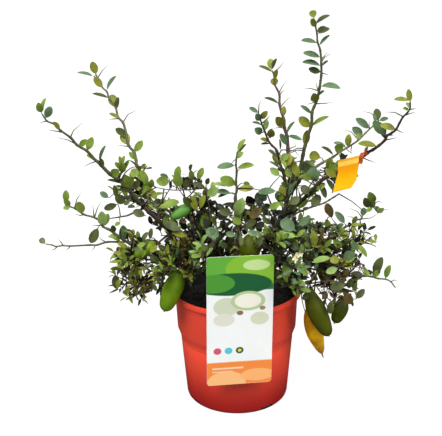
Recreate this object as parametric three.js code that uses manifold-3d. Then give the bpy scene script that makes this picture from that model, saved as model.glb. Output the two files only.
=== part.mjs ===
// A finger lime tree in its nursery pot, in millimetres, +Z up.
// The origin is the centre of the pot's flat underside, -Y is the front and +X the right.
// The limbs and the foliage are grown by one seeded rule from the sizes given first.

import * as THREE from 'three';
import { mergeVertices } from 'three/addons/utils/BufferGeometryUtils.js';
import Module from 'manifold-3d';

const wasm = await Module();
wasm.setup();

// Space left between two pieces that touch
const clearance = 0.3;

const pot = {
  height: 150,
  rimRadius: 85,
  lipWidth: 3,
  lipDepth: 7,
  bandTopRadius: 80.5,
  bandBottomRadius: 78.5,
  bandBottomHeight: 98,
  shoulderRadius: 74.8,
  shoulderHeight: 89,
  baseRadius: 68,
  cornerRadius: 5,
  wall: 1.6,
  floor: 2.4,
  sides: 24,
  notches: 4,
  firstNotchAngle: 33,
  notchWidth: 19,
  notchHeight: 6,
};

const soil = { level: 132, mound: 1.5, flatRadius: 20 };

// The card leans on the rim, turned a little from the front, with a tongue behind it
const card = {
  width: 80.5,
  height: 167,
  bottom: 55,
  thickness: 0.9,
  cornerRadius: 4,
  yaw: 8,
  tilt: -0.9,
  shift: -11.3,
  tongueWidth: 18,
  tongueThickness: 1,
  tongueGap: 8.3,
  tongueTop: 153.5,
  tongueEnd: 133.5,
};

// The flag's outline, in mm along the branch's bearing and up from its lowest corner
const flag = {
  outline: [[1, 39], [33, 50], [29, 37], [26, 19], [19, 8], [-5, -1], [1, 25]],
  thickness: 0.8,
  strapLength: 9,
  strapThickness: 1.2,
  strapPlace: 28,
};

const trunk = {
  foot: [0, 4],
  top: [-3, 2, 172],
  footRadius: 8.2,
  topRadius: 6.4,
  flare: 5.5,
  flareHeight: 7,
  rootLobes: 5,
  lobeDepth: 0.16,
  sides: 15,
  steps: 5,
};

// Each bough leaves its parent at a fraction of that limb's length and passes its points
const boughs = [
  { name: 'bough_left', at: 0.94,
    path: [[-46, -2, 206], [-86, -6, 232], [-120, -18, 270]], radii: [4.8, 2.4] },
  { name: 'bough_left_low', at: 0.58, path: [[-48, -14, 178], [-94, -26, 197]], radii: [3.6, 2.1] },
  { name: 'bough_right', at: 0.96,
    path: [[28, 0, 200], [58, 2, 236], [70, 14, 285]], radii: [4.6, 2.4] },
  { name: 'bough_right_low', at: 0.52, path: [[48, 4, 174], [104, 8, 188]], radii: [3.6, 2.1] },
  { name: 'bough_front', at: 0.72, path: [[2, -24, 184], [6, -50, 210]], radii: [3.2, 2] },
  { name: 'bough_centre', at: 0.99, path: [[2, 8, 205], [6, -4, 238]], radii: [3.4, 2] },
  { name: 'bough_back_left', at: 0.84, path: [[-30, 34, 200], [-60, 62, 228]], radii: [3.4, 2] },
  { name: 'bough_back', at: 0.6, path: [[0, 42, 180], [4, 84, 196]], radii: [3.2, 2] },
  { name: 'bough_back_right', at: 0.8, path: [[30, 34, 196], [66, 58, 222]], radii: [3.4, 2] },
];

// Long shoots: leaves stand singly along the stem
const shoots = [
  { name: 'shoot_left_tall', parent: 'bough_left', at: 0.88,
    path: [[-112, 4, 275], [-124, 20, 310], [-145, 38, 363], [-174, 50, 424]],
    girth: 1.7, nodes: 15, leaf: 21, seed: 11 },
  { name: 'shoot_left_far', parent: 'bough_left', at: 1,
    path: [[-140, -31, 300], [-178, -58, 347], [-217, -88, 393]],
    girth: 2, nodes: 13, leaf: 21, seed: 12 },
  { name: 'shoot_left_short', parent: 'bough_left_low', at: 1,
    path: [[-124, -34, 216], [-160, -50, 250], [-199, -70, 288]],
    girth: 1.6, nodes: 11, leaf: 20, seed: 13 },
  { name: 'shoot_left_bare', parent: 'bough_left_low', at: 0.86,
    path: [[-106, -26, 212], [-143, -30, 224], [-206, -38, 221], [-236, -40, 229]],
    girth: 1.2, nodes: 5, leaf: 15, seed: 14 },
  { name: 'shoot_centre', parent: 'bough_front', at: 1,
    path: [[2, -52, 244], [0, -54, 290], [5, -68, 340]],
    girth: 1.6, nodes: 12, leaf: 21, seed: 15 },
  { name: 'shoot_dark_upright', parent: 'bough_right', at: 1,
    path: [[71, 24, 318], [61, 38, 375], [48, 50, 430]],
    girth: 1.9, nodes: 14, leaf: 20, seed: 16 },
  { name: 'shoot_dark_side', parent: 'bough_right', at: 0.9,
    path: [[60, 6, 302], [38, -4, 352], [20, -15, 382]],
    girth: 1.3, nodes: 13, leaf: 20, seed: 17 },
  { name: 'shoot_tallest', parent: 'bough_right', at: 0.84,
    path: [[78, -2, 300], [89, -15, 357], [99, -30, 420], [90, -40, 476]],
    girth: 1.7, nodes: 18, leaf: 23, seed: 18 },
  { name: 'shoot_tagged', parent: 'bough_right', at: 0.68,
    path: [[90, -20, 278], [121, -45, 309], [167, -85, 358], [182, -110, 404]],
    girth: 1.9, nodes: 15, leaf: 22, seed: 19 },
  { name: 'shoot_right_back', parent: 'bough_right', at: 0.95,
    path: [[96, 34, 296], [134, 55, 311], [172, 72, 334], [199, 85, 360]],
    girth: 1.5, nodes: 14, leaf: 23, seed: 20 },
  { name: 'twig_cut', parent: 'bough_right', at: 0.6,
    path: [[82, -18, 258], [103, -28, 266], [125, -35, 282]],
    girth: 1.4, nodes: 0, leaf: 0, seed: 21, cut: true },
  { name: 'shoot_right_short', parent: 'bough_right_low', at: 0.92,
    path: [[134, 44, 206], [163, 62, 214], [193, 85, 243]],
    girth: 1.4, nodes: 12, leaf: 19, seed: 22 },
  { name: 'shoot_right_low', parent: 'bough_right_low', at: 0.8,
    path: [[118, -4, 176], [164, -5, 167], [206, -18, 151]],
    girth: 1.4, nodes: 12, leaf: 21, seed: 23 },
  { name: 'shoot_back', parent: 'bough_back', at: 0.9,
    path: [[24, 118, 212], [40, 160, 226]], girth: 1.4, nodes: 8, leaf: 20, seed: 24 },
  { name: 'shoot_back_left', parent: 'bough_back_left', at: 0.88,
    path: [[-96, 98, 234], [-136, 138, 248]], girth: 1.5, nodes: 10, leaf: 21, seed: 25 },
  { name: 'shoot_back_right', parent: 'bough_back_right', at: 0.88,
    path: [[96, 98, 230], [126, 144, 246]], girth: 1.5, nodes: 10, leaf: 21, seed: 26 },
];

// Dense masses: twigs stand all round a short stem, and each keeps within its reach of that stem
const masses = [
  { name: 'foliage_left_low', parent: 'bough_left_low', at: 0.93,
    path: [[-112, -26, 180], [-130, -30, 160]], seed: 41 },
  { name: 'foliage_left_front', parent: 'bough_left_low', at: 0.6,
    path: [[-70, -44, 192], [-80, -62, 208]], seed: 42 },
  { name: 'foliage_left_middle', parent: 'bough_left', at: 0.62,
    path: [[-104, -30, 216], [-132, -40, 212]], seed: 43 },
  { name: 'foliage_left_upper', parent: 'bough_left', at: 0.76,
    path: [[-102, 8, 258], [-116, 14, 280]], seed: 44 },
  { name: 'foliage_left_outer', parent: 'bough_left', at: 0.94,
    path: [[-134, -34, 258], [-158, -40, 256]], seed: 45 },
  { name: 'foliage_centre_left', parent: 'bough_left', at: 0.34,
    path: [[-48, -20, 232], [-54, -26, 262]], seed: 46 },
  { name: 'foliage_front_left', parent: 'bough_front', at: 0.5,
    path: [[-26, -48, 196], [-46, -64, 206]], seed: 47 },
  { name: 'foliage_centre', parent: 'bough_centre', at: 1,
    path: [[10, -12, 254], [8, -16, 274]], seed: 48 },
  { name: 'foliage_front_right', parent: 'bough_front', at: 0.74,
    path: [[34, -58, 214], [56, -70, 226]], seed: 50 },
  { name: 'foliage_right_front_low', parent: 'bough_right_low', at: 0.5,
    path: [[60, -40, 178], [66, -72, 192]], seed: 51 },
  { name: 'foliage_right_upper', parent: 'bough_right', at: 0.77,
    path: [[94, 22, 274], [112, 28, 300]], seed: 52 },
  { name: 'foliage_right_inner', parent: 'bough_right', at: 0.64,
    path: [[44, -12, 264], [38, -20, 282]], seed: 53 },
  { name: 'foliage_right_middle', parent: 'bough_right', at: 0.46,
    path: [[92, -20, 218], [120, -30, 224]], seed: 54 },
  { name: 'foliage_right_low', parent: 'bough_right_low', at: 0.7,
    path: [[104, -28, 180], [126, -40, 178]], seed: 55 },
  { name: 'foliage_right_outer', parent: 'bough_right_low', at: 0.86,
    path: [[128, -24, 184], [158, -36, 170]], seed: 49 },
  { name: 'foliage_right_tip', parent: 'bough_right_low', at: 1,
    path: [[136, 20, 200], [164, 30, 208]], seed: 56 },
  { name: 'foliage_back_left', parent: 'bough_back_left', at: 1,
    path: [[-68, 66, 256], [-74, 68, 282]], seed: 57 },
  { name: 'foliage_back_left_low', parent: 'bough_back_left', at: 0.55,
    path: [[-76, 66, 200], [-104, 78, 196]], seed: 58 },
  { name: 'foliage_back', parent: 'bough_back', at: 1,
    path: [[4, 98, 222], [4, 104, 246]], seed: 59 },
  { name: 'foliage_back_low', parent: 'bough_back', at: 0.72,
    path: [[-20, 100, 182], [-34, 122, 184]], seed: 60 },
  { name: 'foliage_back_right', parent: 'bough_back_right', at: 1,
    path: [[76, 64, 246], [84, 68, 270]], seed: 61 },
  { name: 'foliage_back_right_low', parent: 'bough_back_right', at: 0.6,
    path: [[86, 66, 194], [114, 80, 192]], seed: 62 },
];

// What each kind of spray has unless its own entry says otherwise; spread is the leaving angle in radians
const massHabit = {
  girth: 1.6, nodes: 5, firstNode: 0.2, twig: 34, twigLeaves: 3, leaf: 28, reach: 46, spread: 1.05,
  stemSides: 3, stemSteps: 2,
};
const shootHabit = {
  firstNode: 0.14, twig: 0, twigLeaves: 0, reach: 34, spread: 0.8, stemSides: 3, stemSteps: 4,
};
const tipTaper = { living: 0.35, cut: 0.7 };
const lastNode = 0.97;
const boughSides = 5;
const boughSteps = 4;

// A node's turn and angle vary by these amounts, and a twig or leaf with no room is turned on and tried again
const nodeHabit = { turnSpread: 0.7, angleLeast: 0.85, angleSpread: 0.3, tries: 4, turnOn: 1.9 };

// Twigs are longest near the stem's foot, and their leaves stand out at sideAngle, the last at endAngle
const twigHabit = {
  girth: 1, lengthAtFoot: 1.15, shrink: 0.45, lengthLeast: 0.75, lengthSpread: 0.5, lift: 0.25,
  sideAngle: 0.9, endAngle: 0.25, pastEnd: 0.4, clearOfStem: 1,
};

// A leaf's breadth is half its width as a share of its length; its root lies rootShare of the stem's
// radius behind the stem's axis
const leafHabit = {
  liftLeast: 0.12, liftSpread: 0.3, faceAlong: 0.2, faceUp: 0.5, sizeLeast: 0.78, sizeSpread: 0.4,
  breadthLeast: 0.27, breadthSpread: 0.06, rootShare: 0.3,
};
const endLeaf = { place: 0.98, size: 0.9, angle: 0.1 };

// The room a leaf needs, as shares of its length and breadth: a narrow capsule and a broad one
const leafRoom = { from: 0.12, broadFrom: 0.34, broadTo: 0.76, outerFrom: 0.4, broad: 0.85, narrow: 0.425 };
const twigOuterFrom = 0.4;

// Foliage keeps this far from the pot, the card and the flag
const potMargin = 3;
const cardRoom = { centre: 2, half: 42, front: -79, above: 3 };
const flagRoom = { before: 9, after: 34, aside: 5, middle: 24, half: 28 };

// Fruit hang from the stem of their mass: top, middle and tip of the axis, and half the greatest width
const fruits = [
  { owner: 'foliage_left_front', axis: [[-68, -52, 194], [-80, -55, 168], [-91, -58, 141]], girth: 12.5 },
  { owner: 'foliage_centre_left', axis: [[-55, -34, 270], [-66, -38, 264], [-79, -40, 256]], girth: 7.5 },
  { owner: 'foliage_front_right', axis: [[17, -67, 243], [15, -68, 226], [14, -68, 207]], girth: 12.5 },
  { owner: 'foliage_right_low', axis: [[86, -57, 169], [99, -60, 137], [114, -62, 106]], girth: 12 },
  { owner: 'foliage_right_low', axis: [[138, -47, 152], [133, -50, 136], [126, -52, 119]], girth: 9.5 },
  { owner: 'foliage_right_low', axis: [[98, -31, 146], [98, -33, 108], [110, -37, 68]], girth: 11.5 },
  { owner: 'foliage_left_middle', axis: [[-98, -58, 231], [-110, -64, 225], [-122, -68, 217]], girth: 7.5 },
  { owner: 'foliage_back_low', axis: [[-6, 132, 176], [-2, 137, 150], [4, 138, 122]], girth: 11.5 },
  { owner: 'foliage_back_left_low', axis: [[-86, 94, 178], [-92, 98, 152], [-96, 100, 126]], girth: 11 },
  { owner: 'foliage_back_right_low', axis: [[118, 62, 172], [124, 62, 150], [128, 62, 126]], girth: 10.5 },
];

const fruitShape = {
  nub: 0.16, shoulder: 0.07, reach: 0.9, fullness: 0.55, sides: 6, steps: 5,
  stalkDepth: 0.06, stalkRadius: 1.6,
};

// A stalk may leave its stem at any of these places along it
const stalkPlaces = { from: 0.1, to: 0.95, count: 17 };

const blossoms = [
  { owner: 'foliage_front_right', place: [70, -76, 216] },
  { owner: 'foliage_back', place: [20, 122, 232] },
];
const petal = { count: 5, length: 6, breadth: 0.24, rise: 0.4, stalkRadius: 1.2 };

// A leaf is widest just past its middle, and its edges stand this share of its length above the keel
const widestPart = 0.56;
const leafFold = 0.07;
const goldenAngle = THREE.MathUtils.degToRad(137.5);
const up = new THREE.Vector3(0, 0, 1);
const coneAxis = new THREE.Vector3(0, 1, 0);

const materials = {
  pot: { color: 0xc8382a, roughness: 0.42 },
  soil: { color: 0x1c1512, roughness: 0.95 },
  card: { color: 0xe9efe4, roughness: 0.35 },
  flag: { color: 0xf5a713, roughness: 0.45 },
  bark: { color: 0x5b4632, roughness: 0.85 },
  leaves: { color: 0x42612f, roughness: 0.5 },
  shoots: { color: 0x55763a, roughness: 0.5 },
};

function vector(numbers) {
  return new THREE.Vector3(...numbers);
}

// The same seed always gives the same run of numbers from 0 to 1
function seededRandom(seed) {
  let state = seed >>> 0;
  return () => {
    state = (state + 0x6d2b79f5) >>> 0;
    let mixed = Math.imul(state ^ (state >>> 15), 1 | state);
    mixed = ((mixed + Math.imul(mixed ^ (mixed >>> 7), 61 | mixed)) ^ mixed) >>> 0;
    return ((mixed ^ (mixed >>> 14)) >>> 0) / 4294967296;
  };
}

// Solids, with their shared vertices merged
function solidFrom(geometry) {
  const bare = geometry.clone();
  bare.deleteAttribute('uv');
  bare.deleteAttribute('normal');
  const merged = mergeVertices(bare, 1e-4);
  const mesh = new wasm.Mesh({
    numProp: 3,
    vertProperties: new Float32Array(merged.attributes.position.array),
    triVerts: new Uint32Array(merged.index.array),
  });
  mesh.merge();
  return new wasm.Manifold(mesh);
}

function geometryFrom(solid) {
  const mesh = solid.getMesh();
  const geometry = new THREE.BufferGeometry();
  geometry.setAttribute('position', new THREE.BufferAttribute(mesh.vertProperties, 3));
  geometry.setIndex(new THREE.BufferAttribute(mesh.triVerts, 1));
  geometry.computeVertexNormals();
  return geometry;
}

// The largest body of a solid: the others are loose scraps
function largestBody(solid) {
  const bodies = solid.decompose();
  return bodies.reduce((best, body) => (body.volume() > best.volume() ? body : best));
}

// Two unit vectors across a direction, chosen by the axis that a limb keeps furthest from
function crossAxes(direction, reference) {
  const across = direction.clone().cross(reference).normalize();
  return [across, across.clone().cross(direction).normalize()];
}

function referenceFor(chord) {
  const axes = [new THREE.Vector3(1, 0, 0), new THREE.Vector3(0, 1, 0), new THREE.Vector3(0, 0, 1)];
  const lean = (axis) => Math.abs(axis.dot(chord));
  return axes.reduce((best, axis) => (lean(axis) < lean(best) - 1e-9 ? axis : best));
}

// A closed limb along a curve: radiusAt gives the radius at a fraction of its length and an angle
function limbGeometry(curve, radiusAt, sides, steps, level = false) {
  const geometry = new THREE.CylinderGeometry(1, 1, 1, sides, steps);
  const place = geometry.attributes.position;
  const chord = curve.getPoint(1).sub(curve.getPoint(0)).normalize();
  const reference = referenceFor(chord);
  for (let i = 0; i < place.count; i += 1) {
    const along = place.getY(i) + 0.5;
    const direction = level ? up.clone() : curve.getTangent(along);
    const [across, over] = crossAxes(direction, level ? new THREE.Vector3(0, 1, 0) : reference);
    const angle = Math.atan2(place.getZ(i), place.getX(i));
    const radius = Math.hypot(place.getX(i), place.getZ(i)) * radiusAt(along, angle);
    const point = curve.getPoint(along);
    point.addScaledVector(across, radius * Math.cos(angle));
    point.addScaledVector(over, radius * Math.sin(angle));
    place.setXYZ(i, point.x, point.y, point.z);
  }
  return geometry;
}

function curveThrough(points) {
  return new THREE.CatmullRomCurve3(points, false, 'catmullrom', 0.5);
}

function taper(radii) {
  return (along) => THREE.MathUtils.lerp(radii[0], radii[1], along);
}

// Pot: a lathe outline up the outside, over the lip and down the inside
function potOutline(shrink, bottom, cornerTurns) {
  const corner = pot.cornerRadius;
  const base = pot.baseRadius - shrink;
  const points = [0, ...cornerTurns].map((degrees) => {
    const turn = THREE.MathUtils.degToRad(degrees);
    return new THREE.Vector2(base - corner + corner * Math.sin(turn), bottom + corner * (1 - Math.cos(turn)));
  });
  points.push(new THREE.Vector2(pot.shoulderRadius - shrink, pot.shoulderHeight));
  points.push(new THREE.Vector2(pot.bandBottomRadius - shrink, pot.bandBottomHeight));
  points.push(new THREE.Vector2(pot.bandTopRadius - shrink, pot.height - pot.lipDepth));
  return points;
}

function latheAroundZ(points) {
  return new THREE.LatheGeometry(points, pot.sides).rotateX(Math.PI / 2);
}

function potSolid() {
  const outside = potOutline(0, 0, [45, 90]);
  const inside = potOutline(pot.wall, pot.floor, [90]).reverse();
  const lipInside = pot.rimRadius - pot.lipWidth;
  const outline = [
    new THREE.Vector2(0, 0),
    ...outside,
    new THREE.Vector2(pot.rimRadius - 0.6, pot.height - pot.lipDepth),
    new THREE.Vector2(pot.rimRadius, pot.height),
    new THREE.Vector2(lipInside, pot.height),
    ...inside,
    new THREE.Vector2(0, pot.floor),
  ];
  let shell = solidFrom(latheAroundZ(outline));
  for (let i = 0; i < pot.notches; i += 1) {
    const turn = THREE.MathUtils.degToRad(pot.firstNotchAngle) + (i * 2 * Math.PI) / pot.notches;
    const notch = new THREE.BoxGeometry(pot.notchWidth, 2 * pot.cornerRadius, 2 * pot.notchHeight);
    notch.translate(0, -pot.baseRadius, 0);
    notch.rotateZ(turn);
    shell = shell.subtract(solidFrom(notch));
  }
  return shell;
}

function soilSolid() {
  const inset = pot.wall + clearance;
  const bottom = pot.floor + clearance;
  const sides = potOutline(inset, bottom, [90]).filter((point) => point.y < soil.level);
  const topRadius = THREE.MathUtils.mapLinear(
    soil.level, pot.bandBottomHeight, pot.height, pot.bandBottomRadius, pot.bandTopRadius) - inset;
  const outline = [
    new THREE.Vector2(0, bottom),
    ...sides,
    new THREE.Vector2(topRadius, soil.level - soil.mound),
    new THREE.Vector2(soil.flatRadius, soil.level),
    new THREE.Vector2(0, soil.level),
  ];
  return solidFrom(latheAroundZ(outline));
}

// Card: a rounded sheet with a tongue that goes over the rim and down inside it
function cardSolid() {
  const half = card.width / 2;
  const corner = card.cornerRadius;
  const outline = new THREE.Shape();
  outline.moveTo(-half + corner, 0);
  outline.lineTo(half - corner, 0);
  outline.absarc(half - corner, corner, corner, -Math.PI / 2, 0, false);
  outline.lineTo(half, card.height - corner);
  outline.absarc(half - corner, card.height - corner, corner, 0, Math.PI / 2, false);
  outline.lineTo(-half + corner, card.height);
  outline.absarc(-half + corner, card.height - corner, corner, Math.PI / 2, Math.PI, false);
  outline.lineTo(-half, corner);
  outline.absarc(-half + corner, corner, corner, Math.PI, 1.5 * Math.PI, false);
  const sheet = new THREE.ExtrudeGeometry(outline, {
    depth: card.thickness, bevelEnabled: false, curveSegments: 3,
  });
  sheet.rotateX(Math.PI / 2);
  sheet.rotateY(THREE.MathUtils.degToRad(-card.tilt));
  sheet.translate(card.shift, -pot.rimRadius - clearance, card.bottom);

  const thick = card.tongueThickness;
  const side = new THREE.Shape();
  side.moveTo(-0.5, card.tongueTop - thick);
  side.lineTo(card.tongueGap, card.tongueTop - thick);
  side.lineTo(card.tongueGap, card.tongueEnd);
  side.lineTo(card.tongueGap + thick, card.tongueEnd);
  side.lineTo(card.tongueGap + thick, card.tongueTop);
  side.lineTo(-0.5, card.tongueTop);
  const tongue = new THREE.ExtrudeGeometry(side, { depth: card.tongueWidth, bevelEnabled: false });
  tongue.rotateX(Math.PI / 2);
  tongue.rotateZ(Math.PI / 2);
  tongue.translate(-card.tongueWidth / 2, -pot.rimRadius - clearance, 0);
  const joined = solidFrom(sheet).add(solidFrom(tongue));
  return joined.rotate([0, 0, card.yaw]);
}

// Limbs: the trunk on its flat cut, and the boughs that leave it
const trunkFoot = soil.level + clearance;
const trunkCurve = curveThrough([
  vector([...trunk.foot, trunkFoot]),
  vector([trunk.foot[0] + 1, trunk.foot[1] - 1, trunkFoot + 14]),
  vector(trunk.top),
]);

function trunkRadius(extra) {
  const height = trunk.top[2] - trunkFoot;
  return (along, angle) => {
    const flare = Math.exp((-along * height) / trunk.flareHeight);
    const lobes = 1 + trunk.lobeDepth * flare * Math.cos(trunk.rootLobes * angle);
    const straight = THREE.MathUtils.lerp(trunk.footRadius, trunk.topRadius, along);
    return (straight + trunk.flare * flare) * lobes + extra;
  };
}

function trunkSolid(extra) {
  return solidFrom(limbGeometry(trunkCurve, trunkRadius(extra), trunk.sides, trunk.steps, true));
}

const limbs = new Map();
limbs.set('trunk', { curve: trunkCurve, steps: trunk.steps, hull: trunkSolid(clearance) });

// A limb's solid runs straight from step to step, so what it carries is placed on those chords
function onChords(curve, steps, along) {
  const step = Math.min(steps - 1, Math.floor(along * steps));
  const from = curve.getPoint(step / steps);
  const to = curve.getPoint((step + 1) / steps);
  return { point: from.clone().lerp(to, along * steps - step), tangent: to.sub(from).normalize() };
}

// The start of a limb on its parent's axis, and its curve
function limbCurve(limb) {
  const parent = limbs.get(limb.parent ?? 'trunk');
  const start = onChords(parent.curve, parent.steps, limb.at).point;
  return curveThrough([start, ...limb.path.map(vector)]);
}

// A limb grown by the clearance, also past its tip, for cutting what meets it
function clearanceHull(curve, radii, sides, steps) {
  const points = curve.points.slice();
  const past = curve.getTangent(1).multiplyScalar(clearance);
  points[points.length - 1] = points[points.length - 1].clone().add(past);
  const wide = [radii[0] + clearance, radii[1] + clearance];
  return solidFrom(limbGeometry(curveThrough(points), taper(wide), sides, steps));
}

// Obstacles are capsules with an owner, and what grows later keeps clear of them
const obstacles = [];

function addObstacle(owner, start, end, radius) {
  obstacles.push({ owner, start, end, radius });
}

function addCurveObstacles(owner, curve, radii, steps) {
  for (let i = 0; i < steps; i += 1) {
    const radius = THREE.MathUtils.lerp(radii[0], radii[1], i / steps);
    addObstacle(owner, curve.getPoint(i / steps), curve.getPoint((i + 1) / steps), radius);
  }
}

function segmentGap(a0, a1, b0, b1) {
  const u = a1.clone().sub(a0);
  const v = b1.clone().sub(b0);
  const w = a0.clone().sub(b0);
  const uu = u.dot(u);
  const uv = u.dot(v);
  const vv = v.dot(v);
  const uw = u.dot(w);
  const vw = v.dot(w);
  const base = uu * vv - uv * uv;
  let s = base > 1e-9 ? THREE.MathUtils.clamp((uv * vw - vv * uw) / base, 0, 1) : 0;
  const t = THREE.MathUtils.clamp((uv * s + vw) / vv, 0, 1);
  s = THREE.MathUtils.clamp((uv * t - uw) / uu, 0, 1);
  return w.addScaledVector(u, s).addScaledVector(v, -t).length();
}

// Space that belongs to the pot, the card and the flag
const flagFoot = vector([120, -47, 287]);
const flagBearing = vector([46, -40, 0]).normalize();

function inFixedSpace(point, margin) {
  const fromAxis = Math.hypot(point.x, point.y);
  const underRim = point.z < pot.height + potMargin + margin;
  const inPot = underRim && fromAxis < pot.rimRadius + potMargin + margin;
  const underCardTop = point.z < card.bottom + card.height + cardRoom.above + margin;
  const besideCard = Math.abs(point.x - cardRoom.centre) < cardRoom.half + margin;
  const inCard = underCardTop && besideCard && point.y < cardRoom.front + margin / 2;
  const fromFoot = point.clone().sub(flagFoot);
  const alongFlag = fromFoot.dot(flagBearing);
  const offFlag = Math.abs(fromFoot.clone().cross(flagBearing).dot(up));
  const levelWithFlag = Math.abs(fromFoot.z - flagRoom.middle) < flagRoom.half;
  const nearFlag = alongFlag > -flagRoom.before && alongFlag < flagRoom.after;
  const besideFlag = nearFlag && offFlag < flagRoom.aside + margin;
  return inPot || inCard || (levelWithFlag && besideFlag);
}

function isBlocked(owner, start, end, radius) {
  const middle = start.clone().add(end).multiplyScalar(0.5);
  if ([start, middle, end].some((point) => inFixedSpace(point, radius))) {
    return true;
  }
  return obstacles.some((other) => (
    other.owner !== owner
    && segmentGap(start, end, other.start, other.end) < radius + other.radius + clearance
  ));
}

for (const bough of boughs) {
  const curve = limbCurve(bough);
  const hull = clearanceHull(curve, bough.radii, boughSides, boughSteps);
  limbs.set(bough.name, { curve, steps: boughSteps, hull });
  addCurveObstacles(bough.name, curve, bough.radii, boughSteps);
}
addCurveObstacles('trunk', trunkCurve, [trunk.footRadius + 2, trunk.topRadius], 4);

// Sprays are shoots and masses with their habit filled in
const sprays = [
  ...shoots.map((shoot) => ({ ...shootHabit, ...shoot, kind: 'shoot' })),
  ...masses.map((mass) => ({ ...massHabit, ...mass, kind: 'mass' })),
];

for (const spray of sprays) {
  spray.curve = limbCurve(spray);
  spray.radii = [spray.girth, spray.girth * (spray.cut ? tipTaper.cut : tipTaper.living)];
  addCurveObstacles(spray.name, spray.curve, spray.radii, spray.stemSteps);
}

for (const fruit of fruits) {
  const axis = fruit.axis.map(vector);
  fruit.curve = curveThrough(axis);
  addObstacle(fruit.owner, axis[0], axis[1], fruit.girth);
  addObstacle(fruit.owner, axis[1], axis[2], fruit.girth);
}

// A leaf folded along its midrib: base and tip on the keel, and two raised edges
function leafSolid(leaf) {
  const { start, direction, face, length } = leaf;
  const width = face.clone().cross(direction).normalize();
  const blade = new THREE.TetrahedronGeometry(1, 0);
  const place = blade.attributes.position;
  for (let i = 0; i < place.count; i += 1) {
    const [x, y, z] = [place.getX(i), place.getY(i), place.getZ(i)].map(Math.sign);
    const onKeel = x * y > 0;
    const along = onKeel ? (1 - x) / 2 : widestPart;
    const point = start.clone().addScaledVector(direction, along * length);
    if (!onKeel) {
      point.addScaledVector(width, y * length * leaf.breadth);
      point.addScaledVector(face, leafFold * length);
    }
    place.setXYZ(i, point.x, point.y, point.z);
  }
  return solidFrom(blade);
}

// One leaf at a node: it leaves the stem at an angle, its face turned to the stem's tip
function leafAt(node, tangent, side, rootDepth, length, angle, random) {
  const direction = tangent.clone().multiplyScalar(Math.cos(angle)).addScaledVector(side, Math.sin(angle));
  direction.addScaledVector(up, leafHabit.liftLeast + leafHabit.liftSpread * random()).normalize();
  const face = tangent.clone().multiplyScalar(Math.sin(angle) + leafHabit.faceAlong);
  face.addScaledVector(side, -Math.cos(angle)).addScaledVector(up, leafHabit.faceUp);
  face.addScaledVector(direction, -face.dot(direction)).normalize();
  const size = length * (leafHabit.sizeLeast + leafHabit.sizeSpread * random());
  const start = node.clone().addScaledVector(direction, -rootDepth);
  const breadth = leafHabit.breadthLeast + leafHabit.breadthSpread * random();
  return { start, direction, face, length: size, breadth };
}

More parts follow.
